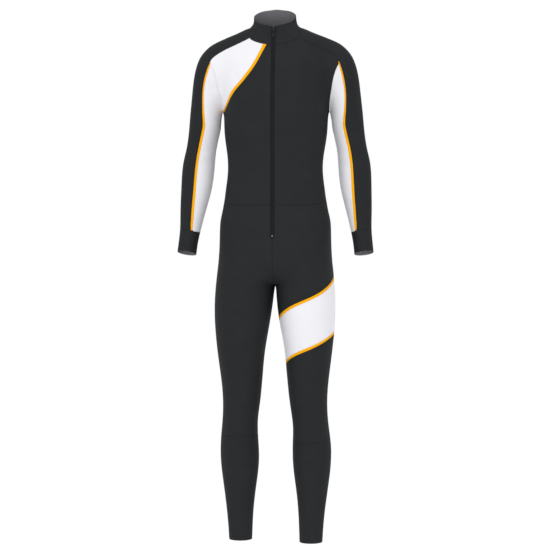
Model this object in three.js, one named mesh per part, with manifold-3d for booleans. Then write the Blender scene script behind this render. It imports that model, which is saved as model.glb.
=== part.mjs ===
// A one-piece skin-tight racing suit, worn and standing, with nobody in it.
//
// Millimetres, +Z up. The suit faces -Y and +X is the wearer's left, so the wearer's right side
// is at -X. The origin is on the centre line at shoulder level, where the wearer carries it.
//
// The cloth lies on a plain, general figure. The figure is a few tables of level sections, blended
// into one smooth field. Each cut piece is a patch of that surface between its own seams, and it
// is given a wall towards the inside. Neighbours share the points of their seam, and each stands
// back from it by half of the seam gap.

import * as THREE from "three";
import { mergeVertices } from "three/addons/utils/BufferGeometryUtils.js";
import Module from "manifold-3d";

// Cloth and seams
const wall = 1.5;
const seamGap = 0.3;
const underarmEase = 1.2;

// Lengths, measured from shoulder level
const hemRight = -1451;
const hemLeft = -1457;
const kneeSeamRight = -1145;
const kneeSeamLeft = -1167;
const cuffSeam = -554;
const cuffLength = 64;
const cuffTilt = 12;

// Zip: a chain of teeth between two tapes, closed, with a stop and a small triangle below it
const zipHalfWidth = 5.5;
const chainHalfWidth = 2.3;
const zipTapeEnd = -571;
const zipTriangleEnd = -581;
const chainTop = 2;
const chainProud = 0.5;
const chainDepth = 2.3;
const stopHeight = 3.4;
const stopProud = 1;

// Slider and its pull tab
const sliderMiddle = 16;
const sliderWidth = 9;
const sliderHeight = 13;
const sliderPlate = 1.4;
const sliderPostWidth = 3;
const sliderClear = 0.9;
const bridgeWidth = 3;
const bridgeReach = 4.4;
const bridgeHalfHeight = 3.8;
const bridgeThick = 1.3;
const tabWidth = 9.6;
const tabLength = 18;
const tabThick = 1.3;
const tabArm = 2.4;
const tabSlotLength = 5.6;
const tabBar = 1.4;

// Coloured strips
const chestPipingWidth = 8.8;
const sleevePipingWidth = 7.5;
const bandPipingWidth = 8;

// How many columns and rows of facets each stretch of cloth has
const neckFrontColumns = 2;
const diagonalColumns = 9;
const armholeRows = 5;
const saddleColumns = 7;
const backArmholeRows = 7;
const bodiceRows = 10;
const fanRings = 7;
const armRings = 9;
const cuffRings = 2;
const collarRows = 3;
const legColumns = 2 * (neckFrontColumns + diagonalColumns);

// Rows of a short table, each made an object by the names of its columns.
function table(columns, rows) {
  const names = columns.split(" ");
  return rows.map((row) => Object.fromEntries(names.map((name, i) => [name, row[i]])));
}

// Body above the legs: half its width, the depth where it is widest, its front and back, and how
// square its section is.
const torsoSections = table("z half side front back square", [
  [110, 60, -24, -83, 34, 2],
  [60, 63, -12, -74, 52, 2],
  [38, 66, -2, -68, 66, 2],
  [29, 88, 4, -66, 72, 2],
  [17, 116, 10, -64, 80, 2],
  [6, 146, 14, -64, 87, 2],
  [-6, 170, 17, -66, 93, 2.05],
  [-29, 180, 20, -72, 102, 2.1],
  [-60, 177, 22, -82, 112, 2.2],
  [-100, 168, 24, -92, 120, 2.3],
  [-150, 158, 24, -99, 124, 2.4],
  [-195, 150.5, 22, -102, 122, 2.4],
  [-243, 151.5, 18, -102, 115, 2.4],
  [-290, 148, 10, -101, 104, 2.35],
  [-340, 140, 2, -100, 93, 2.3],
  [-375, 138, -4, -99, 88, 2.3],
  [-430, 144, -5, -101, 90, 2.3],
  [-481, 151, -4, -104, 98, 2.3],
  [-545, 153, -2, -107, 110, 2.3],
  [-600, 152.5, 0, -109, 119, 2.3],
  [-660, 152, 0, -108, 118, 2.3],
]);

// Arm: how far out its middle is, then as above.
const armSections = table("z mid half side front back square", [
  [-90, 186, 54, 16, -42, 74, 2],
  [-130, 191, 53, 20, -37, 77, 2],
  [-174, 199, 49.5, 24, -30, 78, 2],
  [-220, 205.5, 48, 27, -24, 78, 2],
  [-267, 211, 46.4, 29, -20, 78, 2],
  [-313, 220.2, 43.7, 30, -17, 77, 2],
  [-345, 226, 47, 30, -18, 78, 2],
  [-383, 229.5, 48.2, 26, -21, 73, 2],
  [-429, 232.7, 45.7, 18, -26, 62, 2],
  [-476, 239.2, 40.4, 10, -30, 50, 2],
  [-522, 245, 34, 2, -34, 38, 2],
  [-553, 248.5, 30, -3, -37, 31, 2],
  [-592, 254.5, 28.3, -10, -42.5, 22.5, 2],
  [-640, 259, 28.3, -18, -50, 14, 2],
]);

// Leg: the same columns, from inside the seat down to the hem.
const legSections = table("z mid half side front back square", [
  [-540, 64, 88, 0, -104, 106, 2.2],
  [-600, 70, 85, 0, -110, 116, 2.2],
  [-650, 79, 82, -2, -113, 117, 2.1],
  [-700, 85.5, 86.3, -8, -114, 104, 2.1],
  [-725, 88.3, 86.2, -12, -114, 92, 2.1],
  [-783, 92, 84, -20, -113, 72, 2.1],
  [-841, 95.5, 77.5, -22, -108, 62, 2.1],
  [-899, 97.9, 69.6, -22, -101, 52, 2],
  [-957, 96.5, 63, -22, -92, 45, 2],
  [-1015, 95.2, 56.8, -20, -82, 41, 2],
  [-1073, 98.3, 52.6, -16, -74, 42, 2],
  [-1102, 102.3, 50.8, -12, -70, 45, 2],
  [-1131, 104.8, 52.6, -4, -62, 52, 2],
  [-1175, 105.6, 57, 8, -50, 66, 2],
  [-1218, 105.2, 57.3, 14, -43, 72, 2],
  [-1276, 105.2, 50.8, 16, -34, 68, 2],
  [-1334, 105.2, 42.8, 14, -29, 56, 2],
  [-1392, 103.7, 37, 10, -27, 47, 2],
  [-1470, 102.5, 33, 9, -29, 47, 2],
]);

// The collar's foot, from the centre front round the neck to the centre back, as plan and height.
const neckline = table("x y z", [
  [0, -68, -22],
  [20, -69, -21.5],
  [30, -68, -20],
  [50, -63, -14],
  [69, -56, -4],
  [74, -41, 18],
  [73, -18, 34],
  [70, 4, 38],
  [65, 28, 36],
  [50, 50, 35],
  [28, 64, 33],
  [0, 69, 32],
]);

// Height of the collar's top edge by how far round the neck it is, from the front in degrees.
const collarTop = table("turn z", [[0, 28], [45, 42], [90, 69], [135, 87], [180, 93]]);

// The strip across the chest: its middle line by how far round the body, in degrees.
const chestLine = table("turn z", [
  [16.3, -26],
  [19.5, -41],
  [23.2, -61],
  [29.1, -88],
  [36.9, -115],
  [45.6, -139],
  [56.4, -165],
  [67, -191],
  [78, -206],
  [90, -214],
]);

// The same line on the plain back, where it is only a row of the one panel.
const backLine = table("turn z", [
  [155, 33],
  [149, 6],
  [143, -28],
  [137, -58],
  [131, -86],
  [124, -112],
  [117, -138],
  [110, -163],
  [100, -192],
  [90, -214],
]);

// Front shoulder seam and the hidden back one, each from the collar to the top of the armhole.
const frontShoulder = table("x y z", [
  [69, -56, -4],
  [106, -53, -20],
  [149, -38, -35],
  [170, -36, -46],
  [186, -39, -58],
]);
const backShoulder = table("x y z", [
  [65, 28, 36],
  [95, 52, 16],
  [135, 68, -8],
  [165, 76, -34],
  [186, 82, -62],
]);

// Armhole seam: how far out it is, by the turn about the arm from the top, in degrees.
const armhole = table("turn out", [
  [0, 194],
  [44, 186],
  [65, 172],
  [92, 166],
  [130, 162],
  [160, 158],
  [180, 156],
]);

// The strip down each sleeve: its turn from the outside of the arm towards the front, and where
// the underarm seam runs. Share 0 is the armhole, 1 the first level ring and 2 the cuff.
const sleeveLine = table("share right left under", [
  [0, 46, 46, 180],
  [0.2, 64, 69, 177],
  [0.37, 83, 91, 174],
  [0.5, 93, 101, 172],
  [0.7, 95, 104, 171],
  [1, 92, 100, 171],
  [1.25, 91, 98, 173],
  [1.5, 90, 99, 177],
  [1.75, 95, 106, 180],
  [2, 104, 117, 180],
]);

// Seams and rows round the legs. Each gives its height at the inner front (or centre front), at
// the front, outside and back of the leg, and at the inner back (or centre back).
const legLevels = {
  waist: [-485, -484, -478, -481, -484],
  kneeRight: [kneeSeamRight, kneeSeamRight, kneeSeamRight, kneeSeamRight, kneeSeamRight],
  hemRight: [hemRight, hemRight, hemRight, hemRight, hemRight],
  bandTop: [-812, -755, -689, -733, -812],
  bandFoot: [-936, -892, -846, -880, -936],
  kneeLeft: [kneeSeamLeft, kneeSeamLeft, kneeSeamLeft, kneeSeamLeft, kneeSeamLeft],
  hemLeft: [hemLeft, hemLeft, hemLeft, hemLeft, hemLeft],
};
// Where a leg closes below the seat: this row starts and ends at the crotch and rises outside.
const seatOutsideRight = -700;
const seatOutsideLeft = -652;
const rowsWaistToZipEnd = 3;
const rowsZipEndToSeat = 6;
const rowsSeatToKnee = 9;
const rowsSeatToBand = 3;
const rowsInBand = 4;
const rowsBandToKnee = 5;
const rowsKneeToHem = 7;
const seatRounds = 16;

const degrees = Math.PI / 180;
const mix = (a, b, t) => a + (b - a) * t;
const mixPoint = (p, q, t) => p.map((value, i) => mix(value, q[i], t));
const add = (p, q, k = 1) => p.map((value, i) => value + q[i] * k);
const minus = (p, q) => p.map((value, i) => value - q[i]);
const dot = (p, q) => p[0] * q[0] + p[1] * q[1] + p[2] * q[2];
const cross = (p, q) => [
  p[1] * q[2] - p[2] * q[1],
  p[2] * q[0] - p[0] * q[2],
  p[0] * q[1] - p[1] * q[0],
];
const unit = (p) => p.map((value) => value / Math.hypot(...p));
const distance = (p, q) => Math.hypot(...minus(p, q));
const steps = (count) => Array.from({ length: count + 1 }, (_, i) => i / count);

function smooth(value, low, high) {
  const t = Math.min(1, Math.max(0, (value - low) / (high - low)));
  return t * t * (3 - 2 * t);
}

// A row of a table read between its rows, by a curve that never swings past them.
function readTable(rows, key, value) {
  const rising = rows[1][key] > rows[0][key] ? 1 : -1;
  const at = Math.min(Math.max(value * rising, rows[0][key] * rising), rows.at(-1)[key] * rising);
  let i = 0;
  while (i < rows.length - 2 && at > rows[i + 1][key] * rising) i += 1;
  const [before, low, high, after] = [rows[i - 1], rows[i], rows[i + 1], rows[i + 2]];
  const span = high[key] - low[key];
  const t = (at * rising - low[key]) / span;
  const result = {};
  for (const name of Object.keys(low)) {
    const step = high[name] - low[name];
    const in0 = before ? ((low[name] - before[name]) / (low[key] - before[key])) * span : step;
    const out1 = after ? ((after[name] - high[name]) / (after[key] - high[key])) * span : step;
    const m0 = in0 * step <= 0 ? 0 : (2 * in0 * step) / (in0 + step);
    const m1 = out1 * step <= 0 ? 0 : (2 * out1 * step) / (out1 + step);
    const bend = 3 * step - 2 * m0 - m1 + t * (m0 + m1 - 2 * step);
    result[name] = low[name] + t * (m0 + t * bend);
  }
  return result;
}

// The general figure: below zero inside, above zero outside.
function limb(sections, x, y, z, capTop, capLow) {
  const s = readTable(sections, "z", z);
  const dy = y - s.side;
  const depth = dy < 0 ? s.side - s.front : s.back - s.side;
  const above = Math.max(0, z - sections[0].z) / capTop;
  const below = Math.max(0, sections.at(-1).z - z) / capLow;
  const across = Math.abs((x - (s.mid ?? 0)) / s.half) ** s.square;
  const along = Math.abs(dy / depth) ** s.square;
  const reach = (across + along + (above + below) ** s.square) ** (1 / s.square);
  return (reach - 1) * Math.min(s.half, depth);
}

function soften(a, b, radius) {
  if (radius <= 0) return Math.min(a, b);
  const h = Math.max(radius - Math.abs(a - b), 0) / radius;
  return Math.min(a, b) - (h * h * radius) / 4;
}

// How far each limb is rounded off past its last section, and how softly one runs into another.
// The blends grow over a stretch of height, given as where they start and where they are full.
const openEnd = 1e9;
const shoulderCap = 68;
const seatCap = 52;
const thighCap = 60;
const crotchBlend = { radius: 8, from: -790, to: -740 };
const hipBlend = { radius: 30, from: -740, to: -690 };
const armpitBlend = { radius: 7, from: -226, to: -206 };
const shoulderBlend = { radius: 23, from: -190, to: -90 };

const blendAt = ({ radius, from, to }, z) => radius * smooth(z, from, to);

function figure([x, y, z]) {
  const side = Math.abs(x);
  const torso = limb(torsoSections, side, y, z, openEnd, seatCap);
  const arm = limb(armSections, side, y, z, shoulderCap, openEnd);
  const leg = limb(legSections, side, y, z, thighCap, openEnd);
  const otherLeg = limb(legSections, -side, y, z, thighCap, openEnd);
  const legs = soften(leg, otherLeg, blendAt(crotchBlend, z));
  const body = soften(torso, legs, blendAt(hipBlend, z));
  return soften(body, arm, blendAt(armpitBlend, z) + blendAt(shoulderBlend, z));
}

const probe = 0.05;
const leastSlope = 0.04;
const settleTurns = 14;
const settleStep = 6;
const halvings = 40;

// The direction straight out of the figure, with the field's steepness.
function slope(p) {
  return [0, 1, 2].map((axis) => {
    const ahead = p.map((value, i) => (i === axis ? value + probe : value));
    const behind = p.map((value, i) => (i === axis ? value - probe : value));
    return (figure(ahead) - figure(behind)) / (2 * probe);
  });
}

// A point moved onto the figure's surface, by the shortest way.
function settle(p) {
  let point = p;
  for (let turn = 0; turn < settleTurns; turn += 1) {
    const out = slope(point);
    const step = figure(point) / Math.max(dot(out, out), leastSlope);
    point = add(point, out, -Math.max(-settleStep, Math.min(settleStep, step)));
  }
  return point;
}

// The surface point met from inside the figure along a direction.
function reachOut(from, direction) {
  const stride = 2;
  let near = 0;
  let far = stride;
  while (figure(add(from, direction, far)) < 0) {
    near = far;
    far += stride;
  }
  for (let turn = 0; turn < halvings; turn += 1) {
    const middle = (near + far) / 2;
    if (figure(add(from, direction, middle)) < 0) near = middle;
    else far = middle;
  }
  return add(from, direction, (near + far) / 2);
}

// Level ray from a pole: turn 0 is the front, 90 the wearer's left, 180 the back.
function levelPoint(poleX, poleY, z, turn) {
  return reachOut([poleX, poleY, z], [Math.sin(turn * degrees), -Math.cos(turn * degrees), 0]);
}

const curveDivisions = 400;

function smoothCurve(points) {
  return new THREE.CatmullRomCurve3(
    points.map((p) => new THREE.Vector3(...p)),
    false,
    "centripetal",
  );
}

// Evenly spaced points along a smooth line through the points given.
function evenLine(points, count) {
  const curve = smoothCurve(points);
  curve.arcLengthDivisions = curveDivisions;
  return steps(count).map((t) => curve.getPointAt(t).toArray());
}

// A grid between four border lines that share their corners: lower and upper run along the
// columns, start and end along the rows. It lies on the figure, and its inside is evened out.
function patch(lower, upper, start, end, guess) {
  const columns = lower.length - 1;
  const rows = start.length - 1;
  const grid = [];
  for (let r = 0; r <= rows; r += 1) {
    const v = r / rows;
    grid.push([]);
    for (let c = 0; c <= columns; c += 1) {
      const u = c / columns;
      if (r === 0) grid[r].push(lower[c]);
      else if (r === rows) grid[r].push(upper[c]);
      else if (c === 0) grid[r].push(start[r]);
      else if (c === columns) grid[r].push(end[r]);
      else if (guess) grid[r].push(settle(guess(u, v, r, c)));
      else {
        const across = mixPoint(start[r], end[r], u);
        const along = mixPoint(lower[c], upper[c], v);
        const low = mixPoint(lower[0], lower[columns], u);
        const corners = mixPoint(low, mixPoint(upper[0], upper[columns], u), v);
        grid[r].push(settle(minus(add(across, along), corners)));
      }
    }
  }
  return evenOut(grid);
}

// Each round moves every inner point half of the way to the middle of its four neighbours.
const evenShare = 0.5;
const evenRounds = 8;

function evenOut(grid, rounds = evenRounds) {
  let current = grid;
  for (let round = 0; round < rounds; round += 1) {
    current = current.map((row, r) =>
      row.map((p, c) => {
        if (r === 0 || c === 0 || r === current.length - 1 || c === row.length - 1) return p;
        const around = [current[r - 1][c], current[r + 1][c], row[c - 1], row[c + 1]];
        const middle = around.reduce((sum, q) => add(sum, q, 1 / around.length), [0, 0, 0]);
        return settle(mixPoint(p, middle, evenShare));
      }),
    );
  }
  return current;
}

// One cut piece: faces over shared points, made into a closed wall.
class Piece {
  constructor() {
    this.points = [];
    this.byPlace = new Map();
    this.faces = [];
  }

  point(p) {
    const place = p.map((value) => Math.round(value * 1000)).join();
    if (!this.byPlace.has(place)) {
      this.byPlace.set(place, this.points.length);
      this.points.push(p);
    }
    return this.byPlace.get(place);
  }

  face(...corners) {
    const ids = [...new Set(corners.map((p) => this.point(p)))];
    const centre = this.centre(ids);
    const [a, b, c] = ids.map((id) => this.points[id]);
    const flip = dot(cross(minus(b, a), minus(c, a)), slope(centre)) < 0;
    this.faces.push(flip ? ids.reverse() : ids);
  }

  centre(ids) {
    return ids.reduce((sum, id) => add(sum, this.points[id], 1 / ids.length), [0, 0, 0]);
  }

  grid(rows) {
    for (let r = 1; r < rows.length; r += 1) {
      for (let c = 1; c < rows[r].length; c += 1) {
        this.face(rows[r - 1][c - 1], rows[r - 1][c], rows[r][c], rows[r][c - 1]);
      }
    }
    return this;
  }

  // Edges with cloth on one side only, each with the direction away from the seam's own wall.
  border() {
    const edges = new Map();
    for (const ids of this.faces) {
      ids.forEach((a, i) => {
        const b = ids[(i + 1) % ids.length];
        edges.set(`${a},${b}`, { a, b, ids });
      });
    }
    const free = [...edges.values()].filter(({ a, b }) => !edges.has(`${b},${a}`));
    for (const edge of free) {
      const [a, b] = [this.points[edge.a], this.points[edge.b]];
      const sideways = unit(cross(slope(mixPoint(a, b, 0.5)), minus(b, a)));
      const side = Math.sign(dot(sideways, minus(this.centre(edge.ids), a)));
      edge.inward = sideways.map((value) => value * side);
    }
    return free;
  }

  // The closed wall: the outer skin stands proud of the figure, the inner one lies below it.
  geometry({ proud = 0, depth = wall } = {}) {
    const free = this.border();
    const pull = this.points.map(() => []);
    for (const { a, b, inward } of free) {
      pull[a].push(inward);
      pull[b].push(inward);
    }
    const outer = [];
    const inner = [];
    this.points.forEach((p, id) => {
      const out = unit(slope(p));
      let place = p;
      if (pull[id].length === 2) {
        const [d, e] = pull[id];
        place = add(p, add(d, e), seamGap / 2 / (1 + dot(d, e)));
      }
      outer.push(add(place, out, proud));
      inner.push(add(place, out, proud - depth));
    });
    const count = this.points.length;
    const triangles = [];
    for (const ids of this.faces) {
      for (let i = 2; i < ids.length; i += 1) {
        triangles.push(ids[0], ids[i - 1], ids[i]);
        triangles.push(ids[0] + count, ids[i] + count, ids[i - 1] + count);
      }
    }
    for (const { a, b } of free) {
      triangles.push(b, a, a + count);
      triangles.push(b, a + count, b + count);
    }
    const geometry = new THREE.BufferGeometry();
    const places = [...outer, ...inner].flat();
    geometry.setAttribute("position", new THREE.Float32BufferAttribute(places, 3));
    geometry.setIndex(triangles);
    return geometry;
  }
}

const piece = (...grids) => grids.reduce((made, rows) => made.grid(rows), new Piece());
const mirrored = (rows) => rows.map((row) => row.map(([x, y, z]) => [-x, y, z]));

// Finishes: knitted cloth in three colours, woven tape, nylon teeth, black metal and steel
const cloth = (name, color) => new THREE.MeshStandardMaterial({ name, color, roughness: 0.62 });
const blackKnit = cloth("black_knit", 0x2a2c2e);
const whiteKnit = cloth("white_knit", 0xf1f1f4);
const amberKnit = cloth("amber_knit", 0xf7ab00);
const zipTape = cloth("zip_tape", 0x202123);
const zipTeeth = new THREE.MeshStandardMaterial({ name: "zip_teeth", color: 0x161718, roughness: 0.4 });
const blackMetal = new THREE.MeshStandardMaterial({
  name: "black_metal",
  color: 0x18191a,
  roughness: 0.35,
  metalness: 0.8,
});
const steel = new THREE.MeshStandardMaterial({
  name: "steel",
  color: 0xb9bbbe,
  roughness: 0.3,
  metalness: 1,
});

const suit = new THREE.Group();
suit.name = "racing_suit";

function place(name, geometry, material) {
  const mesh = new THREE.Mesh(geometry, material);
  mesh.name = name;
  suit.add(mesh);
  return mesh;
}

// Points of the figure straight in front of and behind the plane of its two sides
const frontPoint = (x, z) => reachOut([x, 0, z], [0, -1, 0]);
const backPoint = (x, z) => reachOut([x, 0, z], [0, 1, 0]);

// The seam under the body, in the plane between the legs: from a height at the front or back
// down and under to the point where the legs part.
const seatPole = [0, -2, -640];
const dropSteps = 6;
const curlSteps = 12;

function underSeam(forward, z, count) {
  const outPoint = forward ? frontPoint : backPoint;
  const drop = steps(dropSteps).map((t) => outPoint(0, mix(z, seatPole[2], t)));
  const curl = steps(curlSteps).slice(1).map((t) => {
    const turn = mix(90, 0, t) * degrees;
    return reachOut(seatPole, [0, (forward ? -1 : 1) * Math.sin(turn), -Math.cos(turn)]);
  });
  return evenLine([...drop, ...curl], count).map((p, i) => (i === 0 ? p : settle([0, p[1], p[2]])));
}

const crotch = reachOut(seatPole, [0, 0, -1]);

// Legs

// The height of a level at a share of the way round, by a smooth curve through its five heights.
function levelHeight(heights, t) {
  const at = t * (heights.length - 1);
  const i = Math.min(heights.length - 2, Math.floor(at));
  const u = at - i;
  const [b, c] = [heights[i], heights[i + 1]];
  const a = heights[i - 1] ?? b;
  const d = heights[i + 2] ?? c;
  const rise = (c - a) / 2;
  const run = (d - b) / 2;
  return b + u * (rise + u * (3 * (c - b) - 2 * rise - run + u * (rise + run - 2 * (c - b))));
}

// A level ring of a leg below the seat, all round from the inseam. Share 0 and 1 are the inseam.
// The rings' pole moves from under the crotch into the leg's middle over this drop.
const poleDrop = 80;

function legPoint(t, z) {
  const section = readTable(legSections, "z", z);
  const poleY = mix(crotch[1], section.side, smooth(-z, -crotch[2], -crotch[2] + poleDrop));
  return levelPoint(section.mid, poleY, z, mix(-90, 270, t));
}

// Rows of a leg between two heights below the seat, closed along the inside of the leg.
function legRows(upper, lower, count, firstRow) {
  return steps(count).map((v, r) => {
    if (r === 0) return firstRow;
    const row = steps(legColumns).map((t) => legPoint(t, mix(upper(t), lower(t), v)));
    row[legColumns] = row[0];
    return row;
  });
}

// Rows from the waist to the seat row, open at the centre front and the centre back. Their pole
// moves from the body's middle at the waist into the leg.
function seatRows(seat, waistRow) {
  const straight = steps(rowsWaistToZipEnd).map((v) => {
    const z = mix(waistRow[0][2], zipTapeEnd, v);
    return frontPoint(zipHalfWidth, z);
  });
  const front = [...straight, ...underSeam(true, zipTriangleEnd, rowsZipEndToSeat)];
  const rows = front.length - 1;
  const back = underSeam(false, waistRow[legColumns][2], rows);
  front[0] = waistRow[0];
  back[0] = waistRow[legColumns];
  front[rows] = crotch;
  back[rows] = crotch;
  const seatRow = steps(legColumns).map((t) => legPoint(t, seat(t)));
  seatRow[0] = crotch;
  seatRow[legColumns] = crotch;
  const legMiddle = readTable(legSections, "z", crotch[2]).mid;
  const guess = (u, v, r) => {
    const z = mix(waist(u), seat(u), v);
    const poleX = mix(0, legMiddle, smooth(v, 0, 1));
    const from = Math.atan2(-poleX, crotch[1] - front[r][1]) / degrees;
    const to = 180 + Math.atan2(poleX, back[r][1] - crotch[1]) / degrees;
    return levelPoint(poleX, crotch[1], z, mix(from, to, u));
  };
  return evenOut(patch(waistRow, seatRow, front, back, guess), seatRounds);
}

const level = (name, by = 0) => (t) => levelHeight(legLevels[name], t) + by;
const seatHeight = (outside) => (t) => mix(crotch[2], outside, smooth(1 - Math.abs(2 * t - 1), 0, 1));
const waist = level("waist");
const seatOfRight = seatHeight(seatOutsideRight);
const seatOfLeft = seatHeight(seatOutsideLeft);

const waistRow = steps(legColumns).map((t) =>
  t === 0 ? frontPoint(zipHalfWidth, waist(t)) : levelPoint(0, seatPole[1], waist(t), t * 180),
);

const seatRight = seatRows(seatOfRight, waistRow);
const thighRight = legRows(seatOfRight, level("kneeRight"), rowsSeatToKnee, seatRight.at(-1));
const shinRight = legRows(level("kneeRight"), level("hemRight"), rowsKneeToHem, thighRight.at(-1));

// The left thigh's band lies between two thin strips, one at its top and one at its foot.
const strip = bandPipingWidth / 2;
const seatLeft = seatRows(seatOfLeft, waistRow);
const overBand = legRows(seatOfLeft, level("bandTop", strip), rowsSeatToBand, seatLeft.at(-1));
const bandTopStrip = legRows(level("bandTop", strip), level("bandTop", -strip), 1, overBand.at(-1));
const band = legRows(level("bandTop", -strip), level("bandFoot", strip), rowsInBand, bandTopStrip.at(-1));
const bandFootStrip = legRows(level("bandFoot", strip), level("bandFoot", -strip), 1, band.at(-1));
const underBand = legRows(level("bandFoot", -strip), level("kneeLeft"), rowsBandToKnee, bandFootStrip.at(-1));
const shinLeft = legRows(level("kneeLeft"), level("hemLeft"), rowsKneeToHem, underBand.at(-1));

// Neck: the collar's foot, divided where the pieces below it meet

const neckPoints = neckline.map(({ x, y, z }) => settle([x, y, z]));
const footLine = smoothCurve(neckPoints);
const footShares = neckPoints.map((_, i) => i / (neckPoints.length - 1));

function footStretch(fromPoint, toPoint, count) {
  return steps(count).map((t) => {
    const share = mix(footShares[fromPoint], footShares[toPoint], t);
    const p = settle(footLine.getPoint(share).toArray());
    return share === 0 || share === 1 ? [0, p[1], p[2]] : p;
  });
}

const footCentre = 0;
const footStripLow = 1;
const footStripTop = 2;
const footFrontShoulder = 4;
const footBackShoulder = 8;
const footBackLine = 10;
const footBackCentre = 11;

const footToStrip = footStretch(footCentre, footStripLow, neckFrontColumns);
footToStrip[0] = frontPoint(zipHalfWidth, neckline[0].z);
const footStrip = footStretch(footStripLow, footStripTop, 1);
const footChest = footStretch(footStripTop, footFrontShoulder, armholeRows + 1);
const footSaddle = footStretch(footFrontShoulder, footBackShoulder, saddleColumns);
const footBack = footStretch(footBackShoulder, footBackLine, backArmholeRows);
const footBackMiddle = footStretch(footBackLine, footBackCentre, neckFrontColumns);
const foot = [footToStrip, footStrip, footChest, footSaddle, footBack, footBackMiddle].flatMap((line, i) =>
  i === 0 ? line : line.slice(1),
);

// Sleeve rings: planes that fan about a pivot under the armpit, from the armhole to level with
// the arm, and then follow the arm

const fanPivot = { x: 140, z: -262 };
const armholeCentre = { x: 168, y: 20, z: -120 };
const armRun = { out: 73, down: 550 };
const armLean = Math.atan2(armRun.out, armRun.down);
const lastFanReach = 68;
const lastFanY = 28;
const fanEase = 1.5;

function ringFrame(share) {
  const start = [armholeCentre.x - fanPivot.x, armholeCentre.z - fanPivot.z];
  const tiltStart = Math.atan2(start[0], start[1]);
  const tiltEnd = Math.PI / 2 - armLean;
  if (share <= 1) {
    const tilt = mix(tiltStart, tiltEnd, share);
    const reach = mix(Math.hypot(...start), lastFanReach, 1 - (1 - share) ** fanEase);
    const outward = [Math.sin(tilt), 0, Math.cos(tilt)];
    const middleY = mix(armholeCentre.y, lastFanY, share);
    const centre = [fanPivot.x + outward[0] * reach, middleY, fanPivot.z + outward[2] * reach];
    return { outward, centre };
  }
  const firstZ = fanPivot.z + Math.sin(armLean) * lastFanReach;
  const z = mix(firstZ, cuffSeam, share - 1);
  const section = readTable(armSections, "z", z);
  const outward = [Math.cos(armLean), 0, Math.sin(armLean)];
  return { outward, centre: [section.mid, section.side, z] };
}

function ringPoint({ outward, centre }, turn) {
  const direction = add([0, -Math.sin(turn * degrees), 0], outward, Math.cos(turn * degrees));
  return reachOut(centre, direction);
}

// A point of the armhole seam, by its turn from the top: 90 is the front, -90 the back.
function armholePoint(turn) {
  const { out } = readTable(armhole, "turn", Math.abs(turn));
  const direction = [0, -Math.sin(turn * degrees), Math.cos(turn * degrees)];
  return reachOut([out, armholeCentre.y, armholeCentre.z], direction);
}

// The turn at which the armhole seam has run a length from another turn.
const turnStep = 0.25;

function armholeTurnAfter(from, length, sign) {
  let turn = from;
  const start = armholePoint(from);
  while (distance(armholePoint(turn), start) < length) turn += turnStep * sign;
  return turn;
}

const shoulderTurn = 46;
const stripTurn = armholeTurnAfter(shoulderTurn, sleevePipingWidth, 1);
const chestStripTurn = armholeTurnAfter(180, chestPipingWidth, -1);

const armholeWhite = steps(armholeRows).map((t) => mix(chestStripTurn, stripTurn, t));
const armholeTop = steps(saddleColumns).map((t) => mix(shoulderTurn, -shoulderTurn, t));
const armholeBack = steps(backArmholeRows).map((t) => mix(-shoulderTurn, -180, t));
const armholeTurns = [180, ...armholeWhite, ...armholeTop, ...armholeBack.slice(1)];
const armholeLine = armholeTurns.map(armholePoint);
armholeLine[armholeLine.length - 1] = armholeLine[0];

const whiteColumns = armholeRows + 1;
const outerColumns = saddleColumns + backArmholeRows;
// By this share down the sleeve the columns have gone from the armhole's spacing to an even one.
const evenFromShare = 0.7;

function sleeveRing(side, share) {
  const frame = ringFrame(share);
  const line = readTable(sleeveLine, "share", share);
  const settleIn = smooth(share, 0, evenFromShare);
  const size = distance(ringPoint(frame, line[side]), frame.centre);
  const halfStrip = sleevePipingWidth / 2 / size / degrees;
  const spread = (from, to, turns) =>
    turns.map((turn, i) => {
      const atArmhole = (turn - turns[0]) / (turns.at(-1) - turns[0]);
      return mix(from, to, mix(atArmhole, i / (turns.length - 1), settleIn));
    });
  const white = spread(line.under, line[side] + halfStrip, armholeTurns.slice(0, whiteColumns + 1));
  const outer = spread(line[side] - halfStrip, line.under - 360, armholeTurns.slice(whiteColumns + 1));
  const turns = [...white, ...outer];
  const ring = turns.map((turn) => ringPoint(frame, turn));
  ring[ring.length - 1] = ring[0];
  return ring;
}

function sleeveRings(side) {
  const fan = steps(fanRings).map((share) => (share === 0 ? armholeLine : sleeveRing(side, share)));
  const arm = steps(armRings).slice(1).map((share) => sleeveRing(side, 1 + share));
  return [...fan, ...arm];
}

function cuffRows(side) {
  const frame = ringFrame(2);
  const line = readTable(sleeveLine, "share", 2);
  const first = sleeveRing(side, 2);
  const turns = first.map((p) => {
    const from = minus(p, frame.centre);
    return Math.atan2(-from[1], dot(from, frame.outward)) / degrees;
  });
  turns[0] = line.under;
  return steps(cuffRings).map((t) => {
    if (t === 0) return first;
    const drop = t * cuffLength;
    const z = cuffSeam - drop;
    const section = readTable(armSections, "z", z);
    const tilt = t * cuffTilt * degrees;
    const row = turns.map((turn) => {
      const sideways = Math.cos(turn * degrees);
      const forward = Math.sin(turn * degrees);
      const direction = [
        Math.cos(armLean) * sideways,
        -forward * Math.cos(tilt),
        Math.sin(armLean) * sideways + forward * Math.sin(tilt),
      ];
      return reachOut([section.mid, section.side, z], direction);
    });
    row[row.length - 1] = row[0];
    return row;
  });
}

// Bodice: the chest strip, the cloth below it and above it

const bodyPole = 22;

// Even points along a line on the figure, with its ends as they are.
function tidyLine(points, from, to) {
  const line = evenLine(points, diagonalColumns).map(settle);
  line[0] = from;
  line[diagonalColumns] = to;
  return line;
}

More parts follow.
